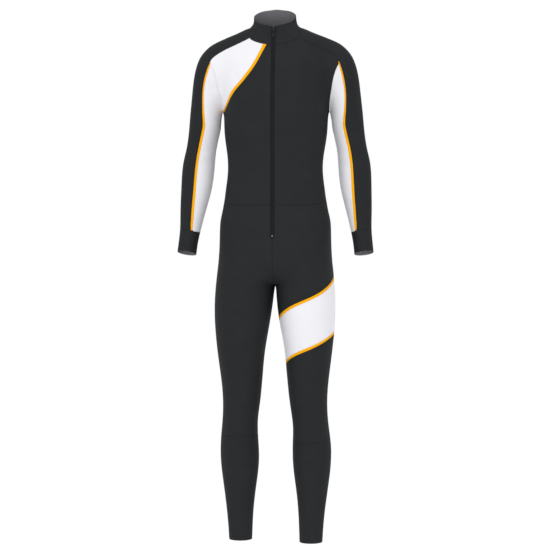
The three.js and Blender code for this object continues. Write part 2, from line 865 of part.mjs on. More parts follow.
function lineOnBody(rows, offset, from, to) {
  const inner = rows.slice(1, -1).map(({ turn, z }) => levelPoint(0, bodyPole, z, turn));
  const points = [from, ...inner, to];
  const moved = points.map((p, i) => {
    if (i === 0 || i === points.length - 1) return p;
    const along = unit(minus(points[i + 1], points[i - 1]));
    const up = unit(cross(unit(slope(p)), along));
    return settle(add(p, up, offset * Math.sign(up[2] || 1)));
  });
  return tidyLine(moved, from, to);
}

// Low in the armpit body and sleeve lie almost together, so there the body stands back further.
const pitTurns = { from: 80, to: 140 };
const bodyArmhole = armholeLine.map((p, i) => {
  const inPit = smooth(Math.abs(armholeTurns[i]), pitTurns.from, pitTurns.to);
  return [p[0] - underarmEase * inPit, p[1], p[2]];
});
const underarm = bodyArmhole[0];
const chestLow = lineOnBody(chestLine, -chestPipingWidth / 2, footStrip[0], underarm);
const chestHigh = lineOnBody(chestLine, chestPipingWidth / 2, footStrip[1], bodyArmhole[1]);
const sideSeam = steps(bodiceRows).map((t) => {
  if (t === 0) return underarm;
  const end = waistRow[legColumns / 2];
  return t === 1 ? end : levelPoint(0, bodyPole, mix(underarm[2], end[2], t), 90);
});
const zipSide = steps(bodiceRows).map((t) => {
  const [top, end] = [footToStrip[0], waistRow[0]];
  if (t === 0) return top;
  return t === 1 ? end : frontPoint(zipHalfWidth, mix(top[2], end[2], t));
});
const frontLower = patch(
  [...footToStrip, ...chestLow.slice(1)],
  waistRow.slice(0, legColumns / 2 + 1),
  zipSide,
  sideSeam,
);

function shoulderLine(rows, from, to) {
  const inner = rows.slice(1, -1).map(({ x, y, z }) => settle([x, y, z]));
  return tidyLine([from, ...inner, to], from, to);
}

const frontTop = whiteColumns + 1;
const backTop = frontTop + saddleColumns;
const frontShoulderLine = shoulderLine(frontShoulder, footSaddle[0], bodyArmhole[frontTop]);
const backShoulderLine = shoulderLine(backShoulder, footSaddle.at(-1), bodyArmhole[backTop]);
const chestArmhole = bodyArmhole.slice(1, frontTop + 1);
const frontUpper = patch(chestHigh, frontShoulderLine, footChest, chestArmhole);

const backDiagonal = lineOnBody(backLine, 0, footBackMiddle[0], underarm);
const backArmholeLine = bodyArmhole.slice(backTop);
const backUpper = patch(
  backDiagonal,
  backShoulderLine,
  [...footBack].reverse(),
  [...backArmholeLine].reverse(),
);
const centreBack = steps(bodiceRows).map((t) => {
  const [top, end] = [footBackMiddle.at(-1), waistRow[legColumns]];
  if (t === 0) return top;
  return t === 1 ? end : backPoint(0, mix(top[2], end[2], t));
});
const backLower = patch(
  [...[...footBackMiddle].reverse(), ...backDiagonal.slice(1)],
  waistRow.slice(legColumns / 2).reverse(),
  centreBack,
  sideSeam,
);

// Shoulder saddle of the outer sleeve, from the collar to the top of the armhole

const saddle = patch(
  frontShoulderLine,
  backShoulderLine,
  footSaddle,
  armholeLine.slice(frontTop, backTop + 1),
);

// Collar: from its foot up to the top edge, open at the zip

const neckPole = -6;

const collarHalf = foot.map((p, i) => {
  const turn = i === foot.length - 1 ? 180 : Math.atan2(p[0], neckPole - p[1]) / degrees;
  const { z } = readTable(collarTop, "turn", turn);
  const onCentreBack = i === foot.length - 1;
  return steps(collarRows).map((t) => {
    if (t === 0) return p;
    const height = mix(p[2], z, t);
    if (i === 0) return frontPoint(zipHalfWidth, height);
    return onCentreBack ? backPoint(0, height) : levelPoint(0, neckPole, height, turn);
  });
});

// The zip's tapes, its chain of teeth and the triangle below it, on the figure's front

// Each stretch of the zip's edge has the rows of the cloth beside it.
const zipHeights = [
  ...[...collarHalf[0]].reverse().map((p) => p[2]),
  ...zipSide.slice(1).map((p) => p[2]),
  ...seatRight.slice(1, rowsWaistToZipEnd + 1).map((row) => row[0][2]),
];
const sides = [-1, 1];
const tapeRows = zipHeights.map((z) => [chainHalfWidth, zipHalfWidth].map((x) => frontPoint(x, z)));
const chainEnd = zipTapeEnd + stopHeight + 2 * seamGap;
const chainHeights = [chainTop, ...zipHeights.filter((z) => z < chainTop && z > chainEnd), chainEnd];
const chainRows = chainHeights.map((z) =>
  [-chainHalfWidth, 0, chainHalfWidth].map((x) => frontPoint(x, z)),
);
const stopRows = [chainEnd, zipTapeEnd].map((z) =>
  sides.map((side) => frontPoint(side * chainHalfWidth, z)),
);
const triangleTop = sides.map((side) => frontPoint(side * zipHalfWidth, zipTapeEnd));
const triangleEnd = underSeam(true, zipTriangleEnd, rowsZipEndToSeat)[0];

// Slider, as seen from its side: a plate before the tapes, a plate behind them, a post between,
// and a bridge in front that holds the pull tab's bar

const wasm = await Module();
wasm.setup();

function solid(geometry) {
  const bare = new THREE.BufferGeometry();
  bare.setAttribute("position", geometry.getAttribute("position"));
  const merged = geometry.index ? bare.setIndex(geometry.index) : mergeVertices(bare);
  const joined = mergeVertices(merged);
  return new wasm.Manifold(
    new wasm.Mesh({
      numProp: 3,
      vertProperties: joined.attributes.position.array,
      triVerts: new Uint32Array(joined.index.array),
    }),
  );
}

function geometryOf(manifold) {
  const mesh = manifold.getMesh();
  const geometry = new THREE.BufferGeometry();
  geometry.setAttribute("position", new THREE.BufferAttribute(mesh.vertProperties, 3));
  geometry.setIndex(new THREE.BufferAttribute(mesh.triVerts, 1));
  return geometry;
}

function roundedRectangle(shape, x0, y0, x1, y1, radius) {
  shape.moveTo(x0 + radius, y0);
  shape.lineTo(x1 - radius, y0);
  shape.absarc(x1 - radius, y0 + radius, radius, -Math.PI / 2, 0);
  shape.lineTo(x1, y1 - radius);
  shape.absarc(x1 - radius, y1 - radius, radius, 0, Math.PI / 2);
  shape.lineTo(x0 + radius, y1);
  shape.absarc(x0 + radius, y1 - radius, radius, Math.PI / 2, Math.PI);
  shape.lineTo(x0, y0 + radius);
  shape.absarc(x0 + radius, y0 + radius, radius, Math.PI, 1.5 * Math.PI);
  return shape;
}

const plain = { bevelEnabled: false, curveSegments: 4 };

// A flat plate in the XZ plane, with its front face at a distance before the zip's surface.
function uprightPlate(shape, front, thick) {
  const plate = new THREE.ExtrudeGeometry(shape, { ...plain, depth: thick });
  return plate.rotateX(Math.PI / 2).translate(0, -front + thick, 0);
}

const sliderFront = frontPoint(0, sliderMiddle)[1];
const sliderTilt = Math.atan2(
  frontPoint(0, sliderMiddle - sliderHeight / 2)[1] - frontPoint(0, sliderMiddle + sliderHeight / 2)[1],
  sliderHeight,
);
const frontPlateFace = sliderClear + sliderPlate;
const backPlateFace = -wall - sliderClear;
const postHalfHeight = 4;
const postRound = 0.8;
const bridgeChamfer = 1.2;
const bridgeRoot = 0.5;
const eyeLow = 0.2;
const eyeRound = 0.6;
const overlap = 0.2;

function sliderGeometry() {
  const outline = roundedRectangle(
    new THREE.Shape(),
    -sliderWidth / 2,
    -sliderHeight / 2,
    sliderWidth / 2,
    sliderHeight / 2,
    sliderWidth / 4,
  );
  const postOutline = roundedRectangle(
    new THREE.Shape(),
    -sliderPostWidth / 2,
    -postHalfHeight,
    sliderPostWidth / 2,
    postHalfHeight,
    postRound,
  );
  const side = new THREE.Shape();
  side.moveTo(-bridgeHalfHeight, -bridgeRoot);
  side.lineTo(-bridgeHalfHeight, bridgeReach - bridgeChamfer);
  side.lineTo(-bridgeHalfHeight + bridgeChamfer, bridgeReach);
  side.lineTo(bridgeHalfHeight - bridgeChamfer, bridgeReach);
  side.lineTo(bridgeHalfHeight, bridgeReach - bridgeChamfer);
  side.lineTo(bridgeHalfHeight, -bridgeRoot);
  const eye = roundedRectangle(
    new THREE.Path(),
    -bridgeHalfHeight + bridgeThick,
    eyeLow,
    bridgeHalfHeight - bridgeThick,
    bridgeReach - bridgeThick,
    eyeRound,
  );
  side.holes.push(eye);
  // Drawn as seen from the side, then turned so that its first axis is up and its second is forward
  const bridge = new THREE.ExtrudeGeometry(side, { ...plain, depth: bridgeWidth });
  const turned = new THREE.Matrix4().makeBasis(
    new THREE.Vector3(0, 0, 1),
    new THREE.Vector3(0, -1, 0),
    new THREE.Vector3(1, 0, 0),
  );
  bridge.applyMatrix4(turned).translate(-bridgeWidth / 2, -frontPlateFace, 0);
  const postLength = frontPlateFace - backPlateFace + 2 * overlap;
  const front = solid(uprightPlate(outline, frontPlateFace, sliderPlate));
  const back = solid(uprightPlate(outline, backPlateFace, sliderPlate));
  const post = solid(uprightPlate(postOutline, frontPlateFace - overlap, postLength));
  return geometryOf(front.add(back).add(post).add(solid(bridge)));
}

// Pull tab: a flat tongue with a slot that the bridge passes through. Its bar is the hinge.
const tabAxis = frontPlateFace + (eyeLow + bridgeReach - bridgeThick) / 2;
const tabRound = 1.6;

function tabGeometry() {
  const half = tabBar / 2;
  const outline = roundedRectangle(
    new THREE.Shape(),
    -tabWidth / 2,
    half - tabLength,
    tabWidth / 2,
    half,
    tabRound,
  );
  const slot = new THREE.Path();
  const slotHalf = tabWidth / 2 - tabArm;
  slot.moveTo(-slotHalf, -half - tabSlotLength);
  slot.lineTo(-slotHalf, -half);
  slot.lineTo(slotHalf, -half);
  slot.lineTo(slotHalf, -half - tabSlotLength);
  outline.holes.push(slot);
  return uprightPlate(outline, tabThick / 2, tabThick);
}

// The suit's pieces

place("front_right_chest", piece(mirrored(frontUpper)).geometry(), whiteKnit);
place("chest_piping", piece(mirrored([chestLow, chestHigh])).geometry(), amberKnit);
place("front_right", piece(mirrored(frontLower)).geometry(), blackKnit);
place("front_left", piece(frontLower, [chestLow, chestHigh], frontUpper).geometry(), blackKnit);
const backHalf = [backLower, backUpper];
place("back", piece(...backHalf, ...backHalf.map(mirrored)).geometry(), blackKnit);

for (const [side, turn] of [["left", (rows) => rows], ["right", mirrored]]) {
  const rings = sleeveRings(side);
  const stretch = (from, to) => turn(rings.map((ring) => ring.slice(from, to + 1)));
  place(`sleeve_${side}_inner`, piece(stretch(0, whiteColumns)).geometry(), whiteKnit);
  const sleeveStrip = piece(stretch(whiteColumns, whiteColumns + 1));
  place(`sleeve_${side}_piping`, sleeveStrip.geometry(), amberKnit);
  const outer = piece(stretch(whiteColumns + 1, whiteColumns + 1 + outerColumns), turn(saddle));
  place(`sleeve_${side}_outer`, outer.geometry(), blackKnit);
  place(`cuff_${side}`, piece(turn(cuffRows(side))).geometry(), blackKnit);
}

place("leg_right_upper", piece(mirrored(seatRight), mirrored(thighRight)).geometry(), blackKnit);
place("leg_right_lower", piece(mirrored(shinRight)).geometry(), blackKnit);
place("leg_left_upper", piece(seatLeft, overBand).geometry(), blackKnit);
place("band_piping_top", piece(bandTopStrip).geometry(), amberKnit);
place("thigh_band", piece(band).geometry(), whiteKnit);
place("band_piping_foot", piece(bandFootStrip).geometry(), amberKnit);
place("leg_left_knee", piece(underBand).geometry(), blackKnit);
place("leg_left_lower", piece(shinLeft).geometry(), blackKnit);

place("collar", piece(collarHalf, mirrored(collarHalf)).geometry(), blackKnit);
place("zip_tape_left", piece(tapeRows).geometry(), zipTape);
place("zip_tape_right", piece(mirrored(tapeRows)).geometry(), zipTape);
place("zip_chain", piece(chainRows).geometry({ proud: chainProud, depth: chainDepth }), zipTeeth);
const stopSize = { proud: stopProud, depth: chainDepth + stopProud };
place("zip_stop", piece(stopRows).geometry(stopSize), steel);
const triangle = new Piece();
triangle.face(...triangleTop, triangleEnd);
place("zip_end", triangle.geometry(), zipTape);

const slider = place("zip_slider", sliderGeometry(), blackMetal);
slider.position.set(0, sliderFront, sliderMiddle);
slider.rotation.x = sliderTilt;
const tab = place("zip_pull", tabGeometry(), blackMetal);
tab.position.set(
  0,
  sliderFront - tabAxis * Math.cos(sliderTilt),
  sliderMiddle - tabAxis * Math.sin(sliderTilt),
);

export default suit;
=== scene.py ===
# %% [markdown]
# # A ski racing suit, cut and sewn
# This is a one-piece suit for cross-country racing, worn by nobody: a thin stretch knit that keeps the
# form of its wearer. The CAD model brings every cut piece as a thin shell. Here the same shells are
# copied, sewn into one skin so that the surface runs on over the seams, smoothed, given its folds by
# hand, and cut apart again along the seams. Then come the stitches, the zip and the finishes.

# %% Load the frame
import math

import bmesh
import bpy
import numpy as np
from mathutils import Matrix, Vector
from mathutils.bvhtree import BVHTree


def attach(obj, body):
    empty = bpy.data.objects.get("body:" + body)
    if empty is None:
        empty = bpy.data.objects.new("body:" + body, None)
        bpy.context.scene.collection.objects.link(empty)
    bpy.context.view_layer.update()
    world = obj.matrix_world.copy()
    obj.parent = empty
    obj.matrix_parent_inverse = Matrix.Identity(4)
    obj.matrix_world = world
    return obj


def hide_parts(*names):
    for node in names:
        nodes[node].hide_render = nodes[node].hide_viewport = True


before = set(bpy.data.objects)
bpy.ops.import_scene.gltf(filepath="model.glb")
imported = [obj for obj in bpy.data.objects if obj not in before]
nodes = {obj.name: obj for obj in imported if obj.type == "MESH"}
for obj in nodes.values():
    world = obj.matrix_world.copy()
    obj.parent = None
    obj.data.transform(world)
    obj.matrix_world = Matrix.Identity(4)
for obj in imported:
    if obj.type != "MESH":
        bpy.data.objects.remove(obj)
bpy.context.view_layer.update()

MM = 0.001


# %% [markdown]
# ## Two small helpers for the finishes
# A finish is a net of nodes. One function adds a node, sets what it is given and plugs in what feeds it.
# Colours are written as a designer reads them off a swatch, in sRGB hex, and turned to linear light once.

# %% Colour and node helpers
def linear(swatch):
    """Turns an sRGB hex colour into the linear RGBA that the shaders take."""
    parts = [int(swatch[i:i + 2], 16) / 255 for i in (1, 3, 5)]
    return [c / 12.92 if c <= 0.04045 else ((c + 0.055) / 1.055) ** 2.4 for c in parts] + [1.0]


def add_node(tree, kind, feeds=None, values=None, **settings):
    """Adds one node, with its settings, the values of its sockets and the sockets that feed it."""
    node = tree.nodes.new(kind)
    for name, value in settings.items():
        setattr(node, name, value)
    for socket, value in (values or {}).items():
        node.inputs[socket].default_value = value
    for socket, source in (feeds or {}).items():
        tree.links.new(source, node.inputs[socket])
    return node


AMBER = "#ffb600"
print("Amber in linear light:", [round(c, 3) for c in linear(AMBER)])

# %% [markdown]
# ## The camera
# The suit was pictured from the front, a few degrees towards the wearer's left, from hip height and from
# almost five metres away. A long lens at that distance keeps the legs as long as they are.

# %% Camera
VIEW_TURN = math.radians(5)
VIEW_DISTANCE = 4.8
EYE_HEIGHT = -0.609
FRAME_WIDTH = 1.598
VIEW_TILT = math.radians(0.883)
SENSOR_WIDTH = 36
camera_data = bpy.data.cameras.new("camera")
camera_data.sensor_width = SENSOR_WIDTH
camera_data.lens = SENSOR_WIDTH * VIEW_DISTANCE / FRAME_WIDTH
camera = bpy.data.objects.new("camera", camera_data)
bpy.context.scene.collection.objects.link(camera)
camera.location = (math.sin(VIEW_TURN) * VIEW_DISTANCE, -math.cos(VIEW_TURN) * VIEW_DISTANCE, EYE_HEIGHT)
camera.rotation_euler = (math.pi / 2 - VIEW_TILT, 0, VIEW_TURN)
bpy.context.scene.camera = camera
print("Lens of", round(camera_data.lens, 1), "mm at", VIEW_DISTANCE, "m")

# %% [markdown]
# ## Sewing the cut pieces into one skin
# Each cut piece of the CAD model is a closed shell 1.5 mm thick. Smoothed one at a time, neighbours would
# part at their seams. So the outer side of every piece is taken, all are sewn into one skin by merging
# the edges that face each other over a seam, and the skin is smoothed as a whole. Every piece keeps a
# material of its own as its label, which later says where to cut.

# %% The cloth pieces and the finish of each
CLOTH = {
    "black_knit": [
        "front_right", "front_left", "back", "sleeve_left_outer", "sleeve_right_outer", "cuff_left",
        "cuff_right", "leg_right_upper", "leg_right_lower", "leg_left_upper", "leg_left_knee",
        "leg_left_lower", "collar",
    ],
    "white_knit": ["front_right_chest", "sleeve_left_inner", "sleeve_right_inner", "thigh_band"],
    "amber_knit": [
        "chest_piping", "sleeve_left_piping", "sleeve_right_piping", "band_piping_top", "band_piping_foot",
    ],
    "zip_tape": ["zip_tape_left", "zip_tape_right", "zip_end"],
}
# An edge shorter than this crosses the thickness of a wall.
WALL_STRIP = 2 * MM
SAME_POINT = 0.02 * MM


def deselect():
    """Goes to object mode and leaves nothing selected."""
    if bpy.context.mode != "OBJECT":
        bpy.ops.object.mode_set(mode="OBJECT")
    bpy.ops.object.select_all(action="DESELECT")


def work_on(*objects):
    """Selects these objects alone and makes the first one active."""
    deselect()
    for o in objects:
        o.select_set(True)
    bpy.context.view_layer.objects.active = objects[0]


def surface_area(o):
    """The area of all faces of an object, in square metres."""
    return sum(p.area for p in o.data.polygons)


def outer_side(name):
    """Copies one cut piece, takes off the strips of its wall and keeps the outer of its two sides."""
    piece = bpy.data.objects.new(name + "_cloth", nodes[name].data.copy())
    bpy.context.scene.collection.objects.link(piece)
    piece.data.materials.clear()
    piece.data.materials.append(bpy.data.materials.new("label " + name))
    work_on(piece)
    bpy.ops.object.mode_set(mode="EDIT")
    bpy.ops.mesh.select_mode(type="FACE")
    bpy.ops.mesh.select_all(action="SELECT")
    bpy.ops.mesh.remove_doubles(threshold=SAME_POINT)
    bpy.ops.mesh.select_all(action="DESELECT")
    shell = bmesh.from_edit_mesh(piece.data)
    for face in shell.faces:
        face.select = any(edge.calc_length() < WALL_STRIP for edge in face.edges)
    bmesh.update_edit_mesh(piece.data)
    bpy.ops.mesh.delete(type="FACE")
    bpy.ops.mesh.separate(type="LOOSE")
    bpy.ops.object.mode_set(mode="OBJECT")
    sides = sorted(bpy.context.selected_objects, key=surface_area)
    for inner in sides[:-1]:
        bpy.data.objects.remove(inner)
    outer = sides[-1]
    outer.name = name + "_cloth"
    return outer, len(sides)


cut = {}
for names in CLOTH.values():
    for name in names:
        cut[name], side_count = outer_side(name)
        if side_count != 2:
            print("  ", name, "fell into", side_count, "sides")
triangles = sum(len(o.data.polygons) for o in cut.values())
print("Took the outer side of", len(cut), "cut pieces,", triangles, "triangles")

# %% Sew them together
# Points on the edges of two neighbours that are closer than this become one.
SEAM_REACH = 2.2 * MM
QUAD_BEND = math.radians(70)
skin = cut["back"]
skin.name = "skin"
work_on(skin, *[o for name, o in cut.items() if name != "back"])
bpy.ops.object.join()
bpy.ops.object.mode_set(mode="EDIT")
bpy.ops.mesh.select_mode(type="VERT")
bpy.ops.mesh.select_all(action="DESELECT")
sewn = bmesh.from_edit_mesh(skin.data)
for vert in sewn.verts:
    vert.select = vert.is_boundary
sewn.select_flush_mode()
bmesh.update_edit_mesh(skin.data)
bpy.ops.mesh.remove_doubles(threshold=SEAM_REACH)
bpy.ops.mesh.select_all(action="SELECT")
bpy.ops.mesh.tris_convert_to_quads(
    face_threshold=QUAD_BEND, shape_threshold=QUAD_BEND, topology_influence=1.0, materials=True)
bpy.ops.mesh.normals_make_consistent(inside=False)
bpy.ops.object.mode_set(mode="OBJECT")


def odd_edges(mesh):
    """The edges that one face uses, and those that more than two use, as pairs of vertex numbers."""
    uses = {}
    for polygon in mesh.polygons:
        for key in polygon.edge_keys:
            uses[key] = uses.get(key, 0) + 1
    alone = [key for key, count in uses.items() if count == 1]
    crowded = [key for key, count in uses.items() if count > 2]
    return alone, crowded


rims, knots = odd_edges(skin.data)
labels = [m.name.replace("label ", "") for m in skin.data.materials]
triangles = sum(len(p.vertices) == 3 for p in skin.data.polygons)
print("Skin:", len(skin.data.polygons), "faces,", triangles, "of them triangles")
print(len(rims), "open edges,", len(knots), "edges with more than two faces")

# %% [markdown]
# ## Smoothing the skin
# A Subdivision Surface runs the skin smoothly over every seam, because the seams are now inner edges.
# The piping and the zip tapes are only a few millimetres wide, and smoothing would spread them over their
# neighbours, so their edges are creased first and stay where they were sewn. The collar is creased along
# its foot too, because there it stands up from the shoulders at a clear angle.
# Each part of the suit also has a spine, a short line inside it from which its surface can be found by
# direction and height. The spines place folds and seams, and carry the run of the knit.

# %% Crease the edges of the narrow strips and of the collar
crisp = {*CLOTH["amber_knit"], *CLOTH["zip_tape"], "collar"}
work_on(skin)
bpy.ops.object.mode_set(mode="EDIT")
bpy.ops.mesh.select_mode(type="EDGE")
bpy.ops.mesh.select_all(action="DESELECT")
sewn = bmesh.from_edit_mesh(skin.data)
creased = 0
for edge in sewn.edges:
    beside = {labels[face.material_index] for face in edge.link_faces}
    edge.select = len(beside) > 1 and not beside.isdisjoint(crisp)
    creased += edge.select
bmesh.update_edit_mesh(skin.data)
bpy.ops.transform.edge_crease(value=1.0)
bpy.ops.object.mode_set(mode="OBJECT")
print("Creased", creased, "edges")

# %% Subdivide once for the whole suit
SMOOTH_LEVELS = 2
work_on(skin)
smooth = skin.modifiers.new("smooth", "SUBSURF")
smooth.levels = SMOOTH_LEVELS
smooth.render_levels = SMOOTH_LEVELS
smooth.boundary_smooth = "PRESERVE_CORNERS"
bpy.ops.object.modifier_apply(modifier=smooth.name)
print("Smoothed skin:", len(skin.data.polygons), "faces")

# %% Spines, in millimetres: x, y, z from the top down
TORSO = [(0, 15, 90), (0, 14, -60), (0, 12, -200), (0, -4, -360), (0, -3, -480), (0, 3, -640), (0, -8, -760)]
ARM = [(150, 6, -20), (195, 15, -80), (204, 25, -200), (218, 30, -320), (232, 24, -390), (241, 6, -480),
       (249, -3, -554), (257, -15, -625)]
LEG = [(80, 3, -480), (86, 3, -640), (94, -20, -800), (94, -25, -950), (97, -16, -1045), (102, -2, -1130),
       (105, 13, -1200), (105, 17, -1290), (105, 11, -1365), (103, 9, -1460)]


def mirrored(line):
    """The same line on the wearer's right."""
    return [(-x, y, z) for x, y, z in line]


SPINES = {
    "torso": TORSO, "left arm": ARM, "right arm": mirrored(ARM), "left leg": LEG, "right leg": mirrored(LEG)}


def spine_point(spine, height):
    """The point of a spine at a height, all in millimetres."""
    line = SPINES[spine]
    falling = [-p[2] for p in line]
    return Vector([float(np.interp(-height, falling, [p[i] for p in line])) for i in (0, 1)] + [height])


def skin_tree():
    """The skin as it is now, in a form that can be searched for its nearest point or hit by a line."""
    points = [v.co for v in skin.data.vertices]
    return BVHTree.FromPolygons(points, [tuple(p.vertices) for p in skin.data.polygons])


def on_skin(tree, spine, height, turn):
    """Where a line from the spine meets the skin. A turn of 0 is the front, 90 the wearer's left."""
    direction = Vector((math.sin(math.radians(turn)), -math.cos(math.radians(turn)), 0))
    place, _, _, _ = tree.ray_cast(spine_point(spine, height) * MM, direction)
    return place


WRIST_HEIGHT = -590
tree = skin_tree()
print("Left wrist front, mm:", [round(c / MM) for c in on_skin(tree, "left arm", WRIST_HEIGHT, 0)])

# %% [markdown]
# ## The arch between the legs
# Smoothing fills a narrow arch, and this one came out almost a centimetre too low. It is drawn up again
# by a soft push that is strongest where the legs meet and has died away a few centimetres further on.

# %% Draw the arch up
ARCH_HEIGHT = -727 * MM
ARCH_RISE = 9 * MM
REACH_ACROSS = 14 * MM
REACH_UPWARD = 24 * MM
places = np.array([v.co[:] for v in skin.data.vertices])
across = places[:, 0] / REACH_ACROSS
upward = (places[:, 2] - ARCH_HEIGHT) / REACH_UPWARD
rise = ARCH_RISE * np.exp(-across ** 2 - upward ** 2)
places[:, 2] += rise
skin.data.vertices.foreach_set("co", places.ravel())
skin.data.update()
tree = skin_tree()
print("Drew up", int((rise > MM).sum()), "points by more than a millimetre")

# %% [markdown]
# ## Folds, laid one by one
# A racing suit fits like a second skin, so it has few folds. They are where the body bends, in the armpits
# and at the elbows, waist, crotch and knees, and where the cuffs and hems grip the wrists and ankles.
# Each is a soft trough along a short line on the skin, deepest in its middle, and a neighbour of negative
# depth makes the ridge beside it. A cloth simulation would shake the whole fit loose for a few
# millimetres of relief, so they are placed one by one.

# %% Lay the folds
# Columns: spine, points of the line as (height in mm, turn in degrees), width in mm, depth in mm.
FOLDS = [
    ("torso", [(-96, 58), (-118, 52), (-138, 47)], 9, 1.8),
    ("torso", [(-112, 64), (-140, 58), (-166, 55)], 10, -1.4),
    ("torso", [(-130, 70), (-165, 66), (-196, 66)], 9, 1.2),
    ("torso", [(-92, -57), (-116, -50), (-134, -44)], 9, 2.0),
    ("torso", [(-110, -63), (-136, -57), (-160, -53)], 10, -1.5),
    ("torso", [(-134, -72), (-168, -67), (-204, -68)], 9, 1.1),
    ("torso", [(-100, 124), (-124, 132), (-148, 139)], 11, 1.7),
    ("torso", [(-122, 116), (-152, 122), (-180, 128)], 10, -1.2),
    ("torso", [(-98, -123), (-122, -130), (-150, -136)], 11, 1.6),
    ("torso", [(-120, -115), (-150, -121), (-184, -127)], 10, -1.3),
    ("left arm", [(-136, -28), (-146, -12), (-152, 6)], 9, 1.5),
    ("left arm", [(-150, -80), (-163, -52), (-170, -28)], 9, -1.1),
    ("right arm", [(-124, 62), (-139, 32), (-148, 4)], 9, 1.6),
    ("right arm", [(-148, 82), (-160, 54), (-169, 26)], 9, -1.2),
    ("left arm", [(-318, -62), (-327, -25), (-321, 18)], 8, 1.3),
    ("left arm", [(-338, -70), (-345, -30), (-340, 24)], 8, -1.0),
    ("left arm", [(-357, -58), (-361, -22), (-354, 12)], 8, 1.0),
    ("right arm", [(-312, 60), (-322, 22), (-318, -15)], 8, 1.2),
    ("right arm", [(-333, 68), (-341, 30), (-335, -22)], 8, -1.0),
    ("right arm", [(-352, 55), (-358, 20), (-350, -10)], 8, 1.1),
    ("left arm", [(-322, 150), (-334, 178), (-326, 205)], 10, 0.9),
    ("right arm", [(-326, -152), (-338, -180), (-329, -204)], 10, 0.8),
    ("left arm", [(-528, -70), (-534, -20), (-530, 40)], 7, 0.8),
    ("right arm", [(-526, 72), (-531, 22), (-528, -38)], 7, 0.7),
    ("torso", [(-656, 12), (-674, 9), (-690, 7)], 9, 2.2),
    ("torso", [(-652, -11), (-672, -8), (-688, -6)], 9, 2.0),
    ("left leg", [(-664, -42), (-694, -62), (-722, -80)], 10, 1.8),
    ("left leg", [(-642, -28), (-676, -44), (-706, -58)], 11, -1.3),
    ("right leg", [(-660, 41), (-692, 60), (-724, 79)], 10, 1.9),
    ("right leg", [(-640, 27), (-672, 42), (-704, 57)], 11, -1.3),
    ("left leg", [(-690, 142), (-716, 168), (-722, 200)], 12, 1.5),
    ("right leg", [(-694, -140), (-718, -166), (-726, -198)], 12, 1.6),
    ("left leg", [(-1098, 140), (-1108, 178), (-1100, 218)], 9, 1.5),
    ("left leg", [(-1124, 134), (-1133, 176), (-1126, 222)], 9, -1.1),
    ("left leg", [(-1150, 142), (-1160, 182), (-1148, 224)], 9, 1.3),
    ("right leg", [(-1088, -138), (-1098, -176), (-1092, -216)], 9, 1.4),
    ("right leg", [(-1112, -134), (-1124, -178), (-1116, -222)], 9, -1.2),
    ("right leg", [(-1136, -144), (-1149, -184), (-1140, -220)], 9, 1.3),
    ("left leg", [(-1030, -40), (-1042, -8), (-1036, 30)], 9, 0.8),
    ("right leg", [(-1024, 38), (-1036, 6), (-1030, -30)], 9, 0.9),
    ("left leg", [(-1408, -60), (-1416, 0), (-1410, 60)], 7, 0.9),
    ("left leg", [(-1392, 120), (-1402, 170), (-1396, 230)], 7, 0.8),
    ("right leg", [(-1402, 62), (-1409, 5), (-1404, -58)], 7, 0.8),
    ("right leg", [(-1388, -118), (-1397, -172), (-1392, -228)], 7, 0.9),
    ("torso", [(-462, 88), (-474, 62), (-470, 40)], 10, 1.1),
    ("torso", [(-458, -86), (-470, -60), (-468, -38)], 10, 1.2),
    ("torso", [(-460, 120), (-472, 150), (-470, 176)], 12, 1.2),
    ("torso", [(-456, -118), (-468, -148), (-466, -172)], 12, 1.1),
]
FOLD_STEPS = 14
# A fold reaches this many of its widths to either side.
FOLD_REACH = 3

places = np.array([v.co[:] for v in skin.data.vertices])
normals = np.array([v.normal[:] for v in skin.data.vertices])
lift = np.zeros(len(places))
for spine, points, width, depth in FOLDS:
    shares = np.linspace(0, 1, FOLD_STEPS)
    stops = np.linspace(0, 1, len(points))
    heights = np.interp(shares, stops, [p[0] for p in points])
    turns = np.interp(shares, stops, [p[1] for p in points])
    line = np.array([on_skin(tree, spine, h, t)[:] for h, t in zip(heights, turns)])
    away = np.linalg.norm(places[:, None, :] - line[None, :, :], axis=2)
    nearest = away.argmin(axis=1)
    distance = away.min(axis=1) / (width * MM)
    near = distance < FOLD_REACH
    fade = np.sin(math.pi * (nearest + 0.5) / FOLD_STEPS)
    lift[near] -= (depth * MM * np.exp(-distance ** 2) * fade)[near]
places += normals * lift[:, None]
skin.data.vertices.foreach_set("co", places.ravel())
skin.data.update()
tree = skin_tree()
deepest = round(-lift.min() / MM, 1)
highest = round(lift.max() / MM, 1)
print(len(FOLDS), "folds, the deepest", deepest, "mm, the highest ridge", highest, "mm")

# %% [markdown]
# ## The run of the knit
# The columns of loops, called wales, run along each limb and spread where it widens, as stretched knit
# does. A UV map in millimetres carries that run: across is the turn round the spine times the limb's mean
# radius, and along is the height. Every face is mapped by itself, so the map has no smear where a turn
# of 180 degrees meets minus 180.

# %% Map the knit
# The mean radius of each part of the suit, in millimetres.
MEAN_RADIUS = {"torso": 140, "left arm": 42, "right arm": 42, "left leg": 62, "right leg": 62}


def spine_of(name):
    """Which spine a cut piece lies round."""
    if name.startswith(("sleeve", "cuff")):
        return "left arm" if "left" in name else "right arm"
    if name.startswith("leg_right"):
        return "right leg"
    if name.startswith(("leg_left", "thigh", "band")):
        return "left leg"
    return "torso"


